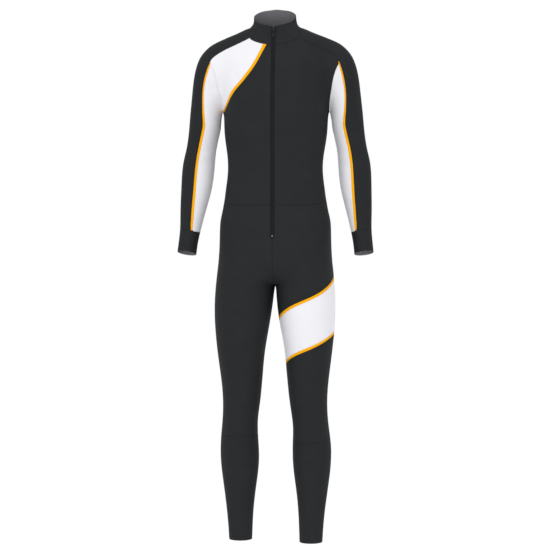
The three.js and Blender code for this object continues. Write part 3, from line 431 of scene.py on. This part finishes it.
def map_knit(o, label_of):
    """Gives every face corner its place in the knit, in millimetres."""
    layer = o.data.uv_layers.new(name="knit")
    centres = {}
    for polygon in o.data.polygons:
        spine = spine_of(label_of[polygon.material_index])
        first = None
        for corner in polygon.loop_indices:
            x, y, z = o.data.vertices[o.data.loops[corner].vertex_index].co / MM
            step = (spine, round(z))
            if step not in centres:
                centres[step] = spine_point(spine, z)
            centre = centres[step]
            turn = math.atan2(x - centre.x, centre.y - y)
            if first is None:
                first = turn
            turn = first + (turn - first + math.pi) % (2 * math.pi) - math.pi
            layer.data[corner].uv = (turn * MEAN_RADIUS[spine], z)


while skin.data.uv_layers:
    skin.data.uv_layers.remove(skin.data.uv_layers[0])
map_knit(skin, labels)
print("Mapped", len(skin.data.loops), "corners")

# %% [markdown]
# ## A groove along every seam
# Where two pieces are sewn together the cloth is drawn down a little. Each cut piece is inset by just
# under a millimetre all round, which lays a narrow strip of faces along its edges, and then the seam lines
# themselves are pulled in. The zip's tapes are too narrow for that and keep their faces. The smooth skin
# and the lines of its seams are kept first, to lay the stitches on later.

# %% Inset every piece and sink the seams
EDGE_STRIP = 0.9 * MM
SEAM_DEPTH = 0.45 * MM


def seam_lines(mesh):
    """The edges between two pieces, under the pair of names they part, and the open rims under one name."""
    sides = {}
    for polygon in mesh.polygons:
        for key in polygon.edge_keys:
            sides.setdefault(key, []).append(polygon.material_index)
    lines = {}
    for key, found in sides.items():
        if len(found) == 1 or found[0] != found[1]:
            pair = tuple(sorted(labels[i] for i in found))
            lines.setdefault(pair, []).append(key)
    return lines


def chains(edges):
    """Strings loose edges together into runs of vertex numbers; a closed run repeats its first number."""
    next_to = {}
    for a, b in edges:
        next_to.setdefault(a, []).append(b)
        next_to.setdefault(b, []).append(a)
    left = {frozenset(edge) for edge in edges}
    starts = [v for v in sorted(next_to) if len(next_to[v]) != 2] + sorted(next_to)
    runs = []
    for start in starts:
        while any(frozenset((start, n)) in left for n in next_to[start]):
            run = [start]
            while True:
                step = next((n for n in sorted(next_to[run[-1]]) if frozenset((run[-1], n)) in left), None)
                if step is None:
                    break
                left.discard(frozenset((run[-1], step)))
                run.append(step)
            runs.append(run)
    return runs


seams = {
    pair: [[Vector(skin.data.vertices[v].co) for v in run] for run in chains(edges)]
    for pair, edges in seam_lines(skin.data).items()
}
smooth_skin = skin_tree()
cloth_under = [labels[p.material_index] for p in skin.data.polygons]
work_on(skin)
bpy.ops.object.mode_set(mode="EDIT")
bpy.ops.mesh.select_mode(type="FACE")
for index, name in enumerate(labels):
    if name in CLOTH["zip_tape"]:
        continue
    bpy.ops.mesh.select_all(action="DESELECT")
    sewn = bmesh.from_edit_mesh(skin.data)
    for face in sewn.faces:
        face.select = face.material_index == index
    bmesh.update_edit_mesh(skin.data)
    bpy.ops.mesh.inset(thickness=EDGE_STRIP, use_boundary=True, use_even_offset=False)
bpy.ops.mesh.select_all(action="DESELECT")
bpy.ops.mesh.select_mode(type="VERT")
sewn = bmesh.from_edit_mesh(skin.data)
for vert in sewn.verts:
    vert.select = len({face.material_index for face in vert.link_faces}) > 1
sewn.select_flush_mode()
bmesh.update_edit_mesh(skin.data)
bpy.ops.transform.shrink_fatten(value=-SEAM_DEPTH)
bpy.ops.object.mode_set(mode="OBJECT")
all_runs = [run for runs in seams.values() for run in runs]
seam_length = sum((b - a).length for run in all_runs for a, b in zip(run, run[1:]))
print(len(seams), "seams and rims,", round(seam_length, 2), "m of them")

# %% [markdown]
# ## Cutting the skin into its pieces
# The skin is separated by label, so neighbours share their edge exactly. Each piece is given its wall
# inwards with Solidify, and its inner face a second material: the inner side of a knit is brushed, and
# that of the black one is much paler. A piece stands for its CAD node, which is hidden, and moves with the
# suit; its finish is given further on, by its kind of cloth.

# %% Cut apart and give each piece its wall
CLOTH_WALL = 1.1 * MM
work_on(skin)
bpy.ops.object.mode_set(mode="EDIT")
bpy.ops.mesh.select_all(action="SELECT")
bpy.ops.mesh.separate(type="MATERIAL")
bpy.ops.object.mode_set(mode="OBJECT")
parts = {}
for o in list(bpy.context.selected_objects):
    label = o.data.materials[o.data.polygons[0].material_index]
    name = label.name.replace("label ", "")
    o.name = o.data.name = name + "_cloth"
    parts[name] = o
slot_of = {name: finish for finish, names in CLOTH.items() for name in names}
for name, o in parts.items():
    work_on(o)
    o.data.materials.clear()
    wall = o.modifiers.new("wall", "SOLIDIFY")
    wall.thickness = CLOTH_WALL
    wall.offset = -1
    wall.material_offset = 1
    bpy.ops.object.shade_smooth()
    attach(o, "suit")
    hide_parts(name)
print("Cut into", len(parts), "pieces")
for name in sorted(parts):
    o = parts[name]
    size = np.ptp(np.array([v.co[:] for v in o.data.vertices]), axis=0)
    print("  ", name, "area", round(surface_area(o), 4), "box", [round(float(c), 3) for c in size])

# %% [markdown]
# ## The flat cut
# Every panel is cut flat from stretch knit, about a tenth smaller than the surface it covers, and its
# wearer stretches it to fit. Each is listed with the rectangle it is cut from and its own flat area.
# The piping, the zip tapes and the small triangle under the zip go with the panel they are sewn to.

FLAT_CUT = {
    "back": (0.41, 0.52, 0.166),
    "front_left": (0.22, 0.49, 0.084),
    "front_right": (0.2, 0.46, 0.066),
    "front_right_chest": (0.11, 0.2, 0.0157),
    "collar": (0.39, 0.1, 0.0195),
    "cuff_left": (0.175, 0.066, 0.0113),
    "cuff_right": (0.175, 0.066, 0.0113),
    "sleeve_left_outer": (0.3, 0.6, 0.111),
    "sleeve_right_outer": (0.3, 0.6, 0.109),
    "sleeve_left_inner": (0.08, 0.47, 0.0216),
    "sleeve_right_inner": (0.085, 0.47, 0.0237),
    "leg_right_upper": (0.54, 0.66, 0.277),
    "leg_right_lower": (0.33, 0.3, 0.082),
    "leg_left_upper": (0.54, 0.33, 0.117),
    "thigh_band": (0.47, 0.24, 0.06),
    "leg_left_knee": (0.38, 0.33, 0.091),
    "leg_left_lower": (0.33, 0.29, 0.077),
}
for name, (width, length, area) in FLAT_CUT.items():
    print("  ", name, "worn over cut:", round(surface_area(parts[name]) / area, 2))
print("Whole cut:", round(sum(area for _, _, area in FLAT_CUT.values()), 3), "square metres")

# %% [markdown]
# ## The knit
# The suit is a warp knit of polyamide and elastane, dyed and calendered, so it is smooth and matt, and
# its white cloth has a soft sheen at a glancing angle. Its loops are about 0.4 mm apart, too fine to show
# in the render, so the wales are drawn 1.2 mm and the courses 0.9 mm apart. The loops stand a little
# proud in the bump, their tops painted paler and their hollows painted darker as shade, and the dye is
# never quite even.

# %% Knit finishes
WALE_MM = 1.2
COURSE_MM = 0.9
# A Wave Texture of scale 1 turns through this many radians in one unit.
WAVE_TURNS = 20
LOOP_HEIGHT = 0.12 * MM
# Painted shade: the loop pattern darkens the colour in the hollows and lightens it on the tops by these
# shares.
LOOP_PAINTED_SHADE = {"To Min": 0.9, "To Max": 1.04}
DYE_CLOUD = {"Scale": 26.0, "Detail": 4.0}
SHEEN_SPREAD = 0.4


def wave_scale(period):
    """The scale that gives a Wave Texture this period."""
    return 2 * math.pi / (WAVE_TURNS * period)


def racing_knit(name, colour, shade, roughness, gloss, sheen, relief):
    """A stretch knit: even dye with a slight cloud, fine wales and courses raised by bump, their hollows
    painted darker as shade and their tops paler, a soft gloss.
    """
    material = bpy.data.materials.new(name)
    material.use_nodes = True
    tree = material.node_tree
    shader = tree.nodes["Principled BSDF"]
    shader.inputs["Roughness"].default_value = roughness
    shader.inputs["Specular IOR Level"].default_value = gloss
    shader.inputs["Sheen Weight"].default_value = sheen
    shader.inputs["Sheen Roughness"].default_value = SHEEN_SPREAD
    run = add_node(tree, "ShaderNodeUVMap", uv_map="knit")
    wales = add_node(tree, "ShaderNodeTexWave", {"Vector": run.outputs["UV"]}, {"Scale": wave_scale(WALE_MM)})
    courses = add_node(
        tree, "ShaderNodeTexWave", {"Vector": run.outputs["UV"]}, {"Scale": wave_scale(COURSE_MM)},
        bands_direction="Y")
    loops = add_node(
        tree, "ShaderNodeMath", {0: wales.outputs["Fac"], 1: courses.outputs["Fac"]}, operation="MULTIPLY")
    place = add_node(tree, "ShaderNodeTexCoord")
    cloud = add_node(tree, "ShaderNodeTexNoise", {"Vector": place.outputs["Object"]}, DYE_CLOUD)
    dye = add_node(
        tree, "ShaderNodeMix", {"Factor": cloud.outputs["Fac"]}, data_type="RGBA", blend_type="MIX")
    dye.inputs["A"].default_value = linear(shade)
    dye.inputs["B"].default_value = linear(colour)
    # Painted shade and highlight: the loop pattern scales the dye, darker in the hollows and paler on the
    # tops.
    painted_loop_shade = add_node(tree, "ShaderNodeMapRange", {"Value": loops.outputs[0]}, LOOP_PAINTED_SHADE)
    tone_with_painted_shade = add_node(
        tree, "ShaderNodeMix", {"A": dye.outputs["Result"], "B": painted_loop_shade.outputs["Result"]},
        {"Factor": 1.0}, data_type="RGBA", blend_type="MULTIPLY")
    bump = add_node(
        tree, "ShaderNodeBump", {"Height": loops.outputs[0]}, {"Strength": relief, "Distance": LOOP_HEIGHT})
    tree.links.new(tone_with_painted_shade.outputs["Result"], shader.inputs["Base Color"])
    tree.links.new(bump.outputs["Normal"], shader.inputs["Normal"])
    return material


# Columns: name, colour, shade, roughness, specular level, sheen, strength of the relief.
FINISHES = {
    "black_knit": racing_knit("black polyamide warp knit", "#2a2c2e", "#242628", 0.6, 0.05, 0.0, 0.35),
    "white_knit": racing_knit("white polyamide warp knit", "#ececf0", "#e6e6ec", 0.6, 0.2, 0.5, 0.25),
    "amber_knit": racing_knit("amber polyamide warp knit", AMBER, "#faae00", 0.6, 0.04, 0.0, 0.3),
    "zip_tape": racing_knit("black woven zip tape", "#222426", "#1d1f21", 0.7, 0.05, 0.0, 0.5),
}
LININGS = {
    "black_knit": racing_knit("brushed grey knit lining", "#858488", "#7d7c81", 0.8, 0.1, 0.0, 0.3),
    "white_knit": racing_knit("brushed white knit lining", "#cfcfd4", "#c6c6cc", 0.8, 0.1, 0.1, 0.3),
}
for name, o in parts.items():
    finish = slot_of[name]
    o.data.materials.append(FINISHES[finish])
    o.data.materials.append(LININGS["white_knit" if finish == "white_knit" else "black_knit"])
    for polygon in o.data.polygons:
        polygon.material_index = 0
print("Finishes:", ", ".join(m.name for m in [*FINISHES.values(), *LININGS.values()]))

# %% [markdown]
# ## Stitches
# A racing suit is sewn with flat seams: the edges meet without a ridge, and a row of stitches runs on
# either side of the join. The hems and cuffs are turned up and held by two rows, and the collar's top by
# one. One stitch is modelled as a small swelling of thread and copied along every row. It takes the thread
# of the cloth it lies on, so black cloth has black stitches and white cloth white ones. Real thread is
# 0.3 mm thick, and this is drawn a little thicker, so that it shows. There are thousands of stitches, so
# each has only a few faces.

# %% One stitch, its long way along its own Z
STITCH_PITCH = 3.0 * MM
STITCH_SIZE = (0.55 * MM, 0.4 * MM, 2.3 * MM)
STITCH_SIDES = 5
STITCH_RINGS = 4
deselect()
bpy.ops.mesh.primitive_uv_sphere_add(segments=STITCH_SIDES, ring_count=STITCH_RINGS, radius=0.5)
stitch = bpy.context.active_object
bpy.ops.object.mode_set(mode="EDIT")
bpy.ops.mesh.select_all(action="SELECT")
bpy.ops.transform.resize(value=STITCH_SIZE, center_override=(0, 0, 0))
bpy.ops.object.mode_set(mode="OBJECT")
stitch_points = np.array([v.co[:] for v in stitch.data.vertices])
stitch_faces = [tuple(p.vertices) for p in stitch.data.polygons]
bpy.data.objects.remove(stitch)
print("One stitch has", len(stitch_points), "points and", len(stitch_faces), "faces")

# %% Rows of stitches beside the seams, the hems and the rims
SEAM_ROWS = (-1.9 * MM, 1.9 * MM)
HEM_ROWS = (15 * MM, 18 * MM)
CUFF_ROWS = (9 * MM, 12 * MM)
COLLAR_ROWS = (3 * MM,)
RIM_ROWS = {
    "leg_right_lower": HEM_ROWS, "leg_left_lower": HEM_ROWS, "cuff_left": CUFF_ROWS, "cuff_right": CUFF_ROWS,
    "collar": COLLAR_ROWS,
}
# The middle of a stitch lies this share of its height above the cloth.
STITCH_LIFT = 0.3
# A stitch that would lie further than this from the cloth is left out.
OFF_THE_CLOTH = 1.2 * MM
SHORTEST_RUN = 3


def even_points(line, pitch):
    """Points along a line at even steps, each with the direction of the line there."""
    run = [0.0]
    for a, b in zip(line, line[1:]):
        run.append(run[-1] + (b - a).length)
    count = max(1, int(run[-1] / pitch))
    marks = (np.arange(count) + 0.5) * run[-1] / count
    columns = [np.interp(marks, run, [p[i] for p in line]) for i in range(3)]
    places = [Vector(p) for p in zip(*columns)]
    ends = [line[0], *places, line[-1]]
    return [(p, (ends[i + 2] - ends[i]).normalized()) for i, p in enumerate(places)]


stitch_places = {}


def stitch_row(line, offset):
    """Lays stitches beside a line on the skin, and sorts them by thread and part of the suit."""
    for place, along in even_points(line, STITCH_PITCH):
        _, out, _, _ = smooth_skin.find_nearest(place)
        aside = out.cross(along).normalized()
        target = place + aside * offset
        spot, out, face, gap = smooth_skin.find_nearest(target)
        cloth = cloth_under[face]
        if gap > OFF_THE_CLOTH or cloth.startswith("zip"):
            continue
        along = (along - out * along.dot(out)).normalized()
        axes = np.array([out.cross(along), out, along])
        spot = spot + out * STITCH_SIZE[1] * STITCH_LIFT
        key = (slot_of[cloth], spine_of(cloth).split()[-1])
        stitch_places.setdefault(key, []).append(np.array(spot) + stitch_points @ axes)


for pair, runs in seams.items():
    for line in runs:
        if len(line) < SHORTEST_RUN:
            continue
        if len(set(pair)) == 2:
            for offset in SEAM_ROWS:
                stitch_row(line, offset)
        else:
            for offset in RIM_ROWS.get(pair[0], ()):
                stitch_row(line, offset)
                stitch_row(line, -offset)
# The inner leg seams, from the arch down: spine, turn in degrees, height of the hem in mm.
INSEAMS = [("left leg", -90, -1455), ("right leg", 90, -1449)]
INSEAM_TOP = -745
INSEAM_STEP = 12
for spine, turn, foot in INSEAMS:
    heights = range(INSEAM_TOP, foot, -INSEAM_STEP)
    inseam = [on_skin(smooth_skin, spine, height, turn) for height in heights]
    for offset in SEAM_ROWS:
        stitch_row([p for p in inseam if p], offset)
print("Stitches:", {key: len(places) for key, places in stitch_places.items()})

# %% Make one piece of each thread
THREADS = {"black_knit": "#26282b", "white_knit": "#e9e9ee", "amber_knit": "#f2a300"}
THREAD_ROUGHNESS = 0.5
THREAD_GLOSS = 0.3
TWIST_PITCH = 0.5 * MM
TWIST_RELIEF = {"Strength": 0.4, "Distance": 0.05 * MM}
# Painted shade: the hollows between strands or grains are drawn at this share of the colour.
HOLLOW_PAINTED_SHADE = 0.8


def painted_hollow_colour(colour):
    """The linear colour painted into the hollows between strands or grains, as painted shade."""
    return [c * HOLLOW_PAINTED_SHADE for c in linear(colour)[:3]] + [1]


def thread(name, colour):
    """Spun polyester thread: a dull gloss, and a twist that shows as a fine slant along each stitch, raised
    by bump and with painted shade in its grooves.
    """
    material = bpy.data.materials.new(name)
    material.use_nodes = True
    tree = material.node_tree
    shader = tree.nodes["Principled BSDF"]
    shader.inputs["Roughness"].default_value = THREAD_ROUGHNESS
    shader.inputs["Specular IOR Level"].default_value = THREAD_GLOSS
    place = add_node(tree, "ShaderNodeTexCoord")
    twist = add_node(
        tree, "ShaderNodeTexWave", {"Vector": place.outputs["Object"]}, {"Scale": wave_scale(TWIST_PITCH)},
        bands_direction="DIAGONAL")
    # Painted shade: the grooves of the twist are drawn darker than the thread.
    tone_with_painted_shade = add_node(tree, "ShaderNodeMix", {"Factor": twist.outputs["Fac"]}, data_type="RGBA")
    tone_with_painted_shade.inputs["A"].default_value = painted_hollow_colour(colour)
    tone_with_painted_shade.inputs["B"].default_value = linear(colour)
    bump = add_node(tree, "ShaderNodeBump", {"Height": twist.outputs["Fac"]}, TWIST_RELIEF)
    tree.links.new(tone_with_painted_shade.outputs["Result"], shader.inputs["Base Color"])
    tree.links.new(bump.outputs["Normal"], shader.inputs["Normal"])
    return material


def many(name, copies, faces, material):
    """Joins copies of one small shape into one piece."""
    count = len(copies[0])
    mesh = bpy.data.meshes.new(name)
    all_faces = [tuple(v + i * count for v in face) for i in range(len(copies)) for face in faces]
    mesh.from_pydata(np.concatenate(copies).tolist(), [], all_faces)
    mesh.validate()
    o = bpy.data.objects.new(name, mesh)
    bpy.context.scene.collection.objects.link(o)
    mesh.materials.append(material)
    work_on(o)
    bpy.ops.object.mode_set(mode="EDIT")
    bpy.ops.mesh.select_all(action="SELECT")
    bpy.ops.mesh.normals_make_consistent(inside=False)
    bpy.ops.object.mode_set(mode="OBJECT")
    bpy.ops.object.shade_smooth()
    return o


thread_finish = {
    finish: thread(finish.split("_")[0] + " polyester thread", colour) for finish, colour in THREADS.items()}
for (finish, part), copies in sorted(stitch_places.items()):
    o = many("stitches_" + finish.split("_")[0] + "_" + part, copies, stitch_faces, thread_finish[finish])
    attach(o, "suit")
    print(o.name, len(o.data.polygons), "faces")

# %% [markdown]
# ## The zip
# A fine nylon coil zip runs from the collar to below the waist. Its teeth are loops of drawn nylon wire
# sewn to two tapes, and those of one side lie between those of the other. One tooth is a small block with
# soft edges, copied down both sides in turn. The strip under them, the stop, the slider and its pull tab
# are the CAD solids, with the finish of the real ones.

# %% Teeth
TOOTH_PITCH = 1.5 * MM
TOOTH_SIZE = (2.7 * MM, 0.9 * MM, 1.0 * MM)
TOOTH_ASIDE = 0.75 * MM
TOOTH_EDGE = 0.25 * MM
TOOTH_LIFT = 0.05 * MM
CENTRE_REACH = 0.2 * MM
# Points of the strip this close in height are its front and its back at one place.
STRIP_DEPTH = 2.3 * MM
deselect()
bpy.ops.mesh.primitive_cube_add(size=1)
tooth = bpy.context.active_object
bpy.ops.object.mode_set(mode="EDIT")
bpy.ops.mesh.select_all(action="SELECT")
bpy.ops.transform.resize(value=TOOTH_SIZE, center_override=(0, 0, 0))
bpy.ops.mesh.bevel(offset=TOOTH_EDGE, segments=1, affect="EDGES")
bpy.ops.object.mode_set(mode="OBJECT")
tooth_points = np.array([v.co[:] for v in tooth.data.vertices])
tooth_faces = [tuple(p.vertices) for p in tooth.data.polygons]
bpy.data.objects.remove(tooth)
strip_middle = [v.co for v in nodes["zip_chain"].data.vertices if abs(v.co.x) < CENTRE_REACH]
zip_line = []
for co in sorted(strip_middle, key=lambda co: -co.z):
    if zip_line and zip_line[-1].z - co.z < STRIP_DEPTH:
        co = min(co, zip_line.pop(), key=lambda c: c.y)
    zip_line.append(Vector((0, co.y, co.z)))
teeth = []
for count, (place, along) in enumerate(even_points(zip_line, TOOTH_PITCH / 2)):
    out = Vector((0, along.z, -along.y)).normalized()
    axes = np.array([(1, 0, 0), tuple(out), tuple(along)])
    aside = Vector((TOOTH_ASIDE if count % 2 else -TOOTH_ASIDE, 0, 0))
    teeth.append(np.array(place + aside + out * TOOTH_LIFT) + tooth_points @ axes)

NYLON_GRAIN = {"Scale": 900.0, "Detail": 2.0}
NYLON_ROUGHNESS = {"To Min": 0.45, "To Max": 0.6}
NYLON_GLOSS = 0.1
nylon = bpy.data.materials.new("black drawn nylon")
nylon.use_nodes = True
tree = nylon.node_tree
shader = tree.nodes["Principled BSDF"]
shader.inputs["Base Color"].default_value = linear("#1e1f21")
shader.inputs["Specular IOR Level"].default_value = NYLON_GLOSS
place = add_node(tree, "ShaderNodeTexCoord")
grain = add_node(tree, "ShaderNodeTexNoise", {"Vector": place.outputs["Object"]}, NYLON_GRAIN)
dull = add_node(tree, "ShaderNodeMapRange", {"Value": grain.outputs["Fac"]}, NYLON_ROUGHNESS)
tree.links.new(dull.outputs["Result"], shader.inputs["Roughness"])
zip_teeth = many("zip_teeth", teeth, tooth_faces, nylon)
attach(zip_teeth, "suit")
nodes["zip_chain"].material_slots[0].material = nylon
print(len(teeth), "teeth")

# %% Stop, slider and pull tab
CAST_GRAIN = {"Scale": 700.0, "Detail": 3.0}
CAST_RELIEF = {"Strength": 0.2, "Distance": 0.05 * MM}


def cast_metal(name, colour, metallic, gloss, rough_low, rough_high):
    """Cast metal with or without a lacquer: a fine unevenness of the surface breaks its gloss, and its low
    spots are painted darker as shade.
    """
    material = bpy.data.materials.new(name)
    material.use_nodes = True
    tree = material.node_tree
    shader = tree.nodes["Principled BSDF"]
    shader.inputs["Metallic"].default_value = metallic
    shader.inputs["Specular IOR Level"].default_value = gloss
    place = add_node(tree, "ShaderNodeTexCoord")
    cast = add_node(tree, "ShaderNodeTexNoise", {"Vector": place.outputs["Object"]}, CAST_GRAIN)
    limits = {"To Min": rough_low, "To Max": rough_high}
    dull = add_node(tree, "ShaderNodeMapRange", {"Value": cast.outputs["Fac"]}, limits)
    bump = add_node(tree, "ShaderNodeBump", {"Height": cast.outputs["Fac"]}, CAST_RELIEF)
    # Painted shade: where the cast grain is low, the colour is drawn darker.
    tone_with_painted_shade = add_node(tree, "ShaderNodeMix", {"Factor": cast.outputs["Fac"]}, data_type="RGBA")
    tone_with_painted_shade.inputs["A"].default_value = painted_hollow_colour(colour)
    tone_with_painted_shade.inputs["B"].default_value = linear(colour)
    tree.links.new(tone_with_painted_shade.outputs["Result"], shader.inputs["Base Color"])
    tree.links.new(dull.outputs["Result"], shader.inputs["Roughness"])
    tree.links.new(bump.outputs["Normal"], shader.inputs["Normal"])
    return material


# Columns: name, colour, metallic, specular level, lowest and highest roughness.
enamel = cast_metal("black lacquered zinc", "#141517", 0.0, 0.15, 0.35, 0.5)
bare_steel = cast_metal("dull tinned steel", "#7d7f83", 1.0, 0.5, 0.4, 0.55)
nodes["zip_slider"].material_slots[0].material = enamel
nodes["zip_pull"].material_slots[0].material = enamel
nodes["zip_stop"].material_slots[0].material = bare_steel

# %% [markdown]
# ## Floor and light
# The suit hangs in the air as its wearer stood, its hems a third of a metre above the floor. The floor is
# plain and white, and so wide that its far edge is at the horizon. The light is soft: a fill from all
# round, a wide ceiling light that leans to the front and keeps the floor white, and a broad lamp in front.
# The fill is weaker than the backdrop looks, so that the limbs are modelled and the backdrop is still
# white.

# %% Floor
FLOOR_HEIGHT = -1.78
FLOOR_SIZE = 400
FLOOR_ROUGHNESS = 0.9
deselect()
bpy.ops.mesh.primitive_plane_add(size=FLOOR_SIZE, location=(0, 0, FLOOR_HEIGHT))
floor = bpy.context.active_object
floor.name = "floor"
bpy.ops.object.transform_apply(location=True)
paint = bpy.data.materials.new("matt white studio floor")
paint.use_nodes = True
shader = paint.node_tree.nodes["Principled BSDF"]
shader.inputs["Base Color"].default_value = linear("#ffffff")
shader.inputs["Roughness"].default_value = FLOOR_ROUGHNESS
floor.data.materials.append(paint)
print("Floor at", FLOOR_HEIGHT, "m")

# %% Light from all round
BACKDROP_STRENGTH = 1.0
FILL_STRENGTH = 0.72
sky = bpy.data.worlds.new("soft studio")
sky.use_nodes = True
background = sky.node_tree.nodes["Background"]
background.inputs["Color"].default_value = (1, 1, 1, 1)
path = add_node(sky.node_tree, "ShaderNodeLightPath")
strength = add_node(
    sky.node_tree, "ShaderNodeMapRange", {"Value": path.outputs["Is Camera Ray"]},
    {"To Min": FILL_STRENGTH, "To Max": BACKDROP_STRENGTH})
sky.node_tree.links.new(strength.outputs["Result"], background.inputs["Strength"])
bpy.context.scene.world = sky
bpy.context.scene.view_settings.view_transform = "Standard"
print("Fill", FILL_STRENGTH, "behind a backdrop of", BACKDROP_STRENGTH)

# %% Front lamp and ceiling light
SUIT_MIDDLE = Vector((0, 0, -0.68))
LAMP_PLACE = Vector((-0.4, -4.4, 0.4))
LAMP_SIZE = 1.6
LAMP_WATTS = 22
CEILING_STRENGTH = 1.15
CEILING_SPREAD = math.radians(60)
CEILING_LEAN = math.radians(30)
lamp_data = bpy.data.lights.new("front lamp", "AREA")
lamp_data.energy = LAMP_WATTS
lamp_data.size = LAMP_SIZE
lamp = bpy.data.objects.new("front lamp", lamp_data)
bpy.context.scene.collection.objects.link(lamp)
lamp.location = LAMP_PLACE
lamp.rotation_euler = (SUIT_MIDDLE - LAMP_PLACE).to_track_quat("-Z", "Y").to_euler()
ceiling_data = bpy.data.lights.new("ceiling light", "SUN")
ceiling_data.energy = CEILING_STRENGTH
ceiling_data.angle = CEILING_SPREAD
ceiling = bpy.data.objects.new("ceiling light", ceiling_data)
bpy.context.scene.collection.objects.link(ceiling)
ceiling.rotation_euler = (CEILING_LEAN, 0, 0)
print("Front lamp of", LAMP_WATTS, "W and ceiling light of strength", CEILING_STRENGTH)
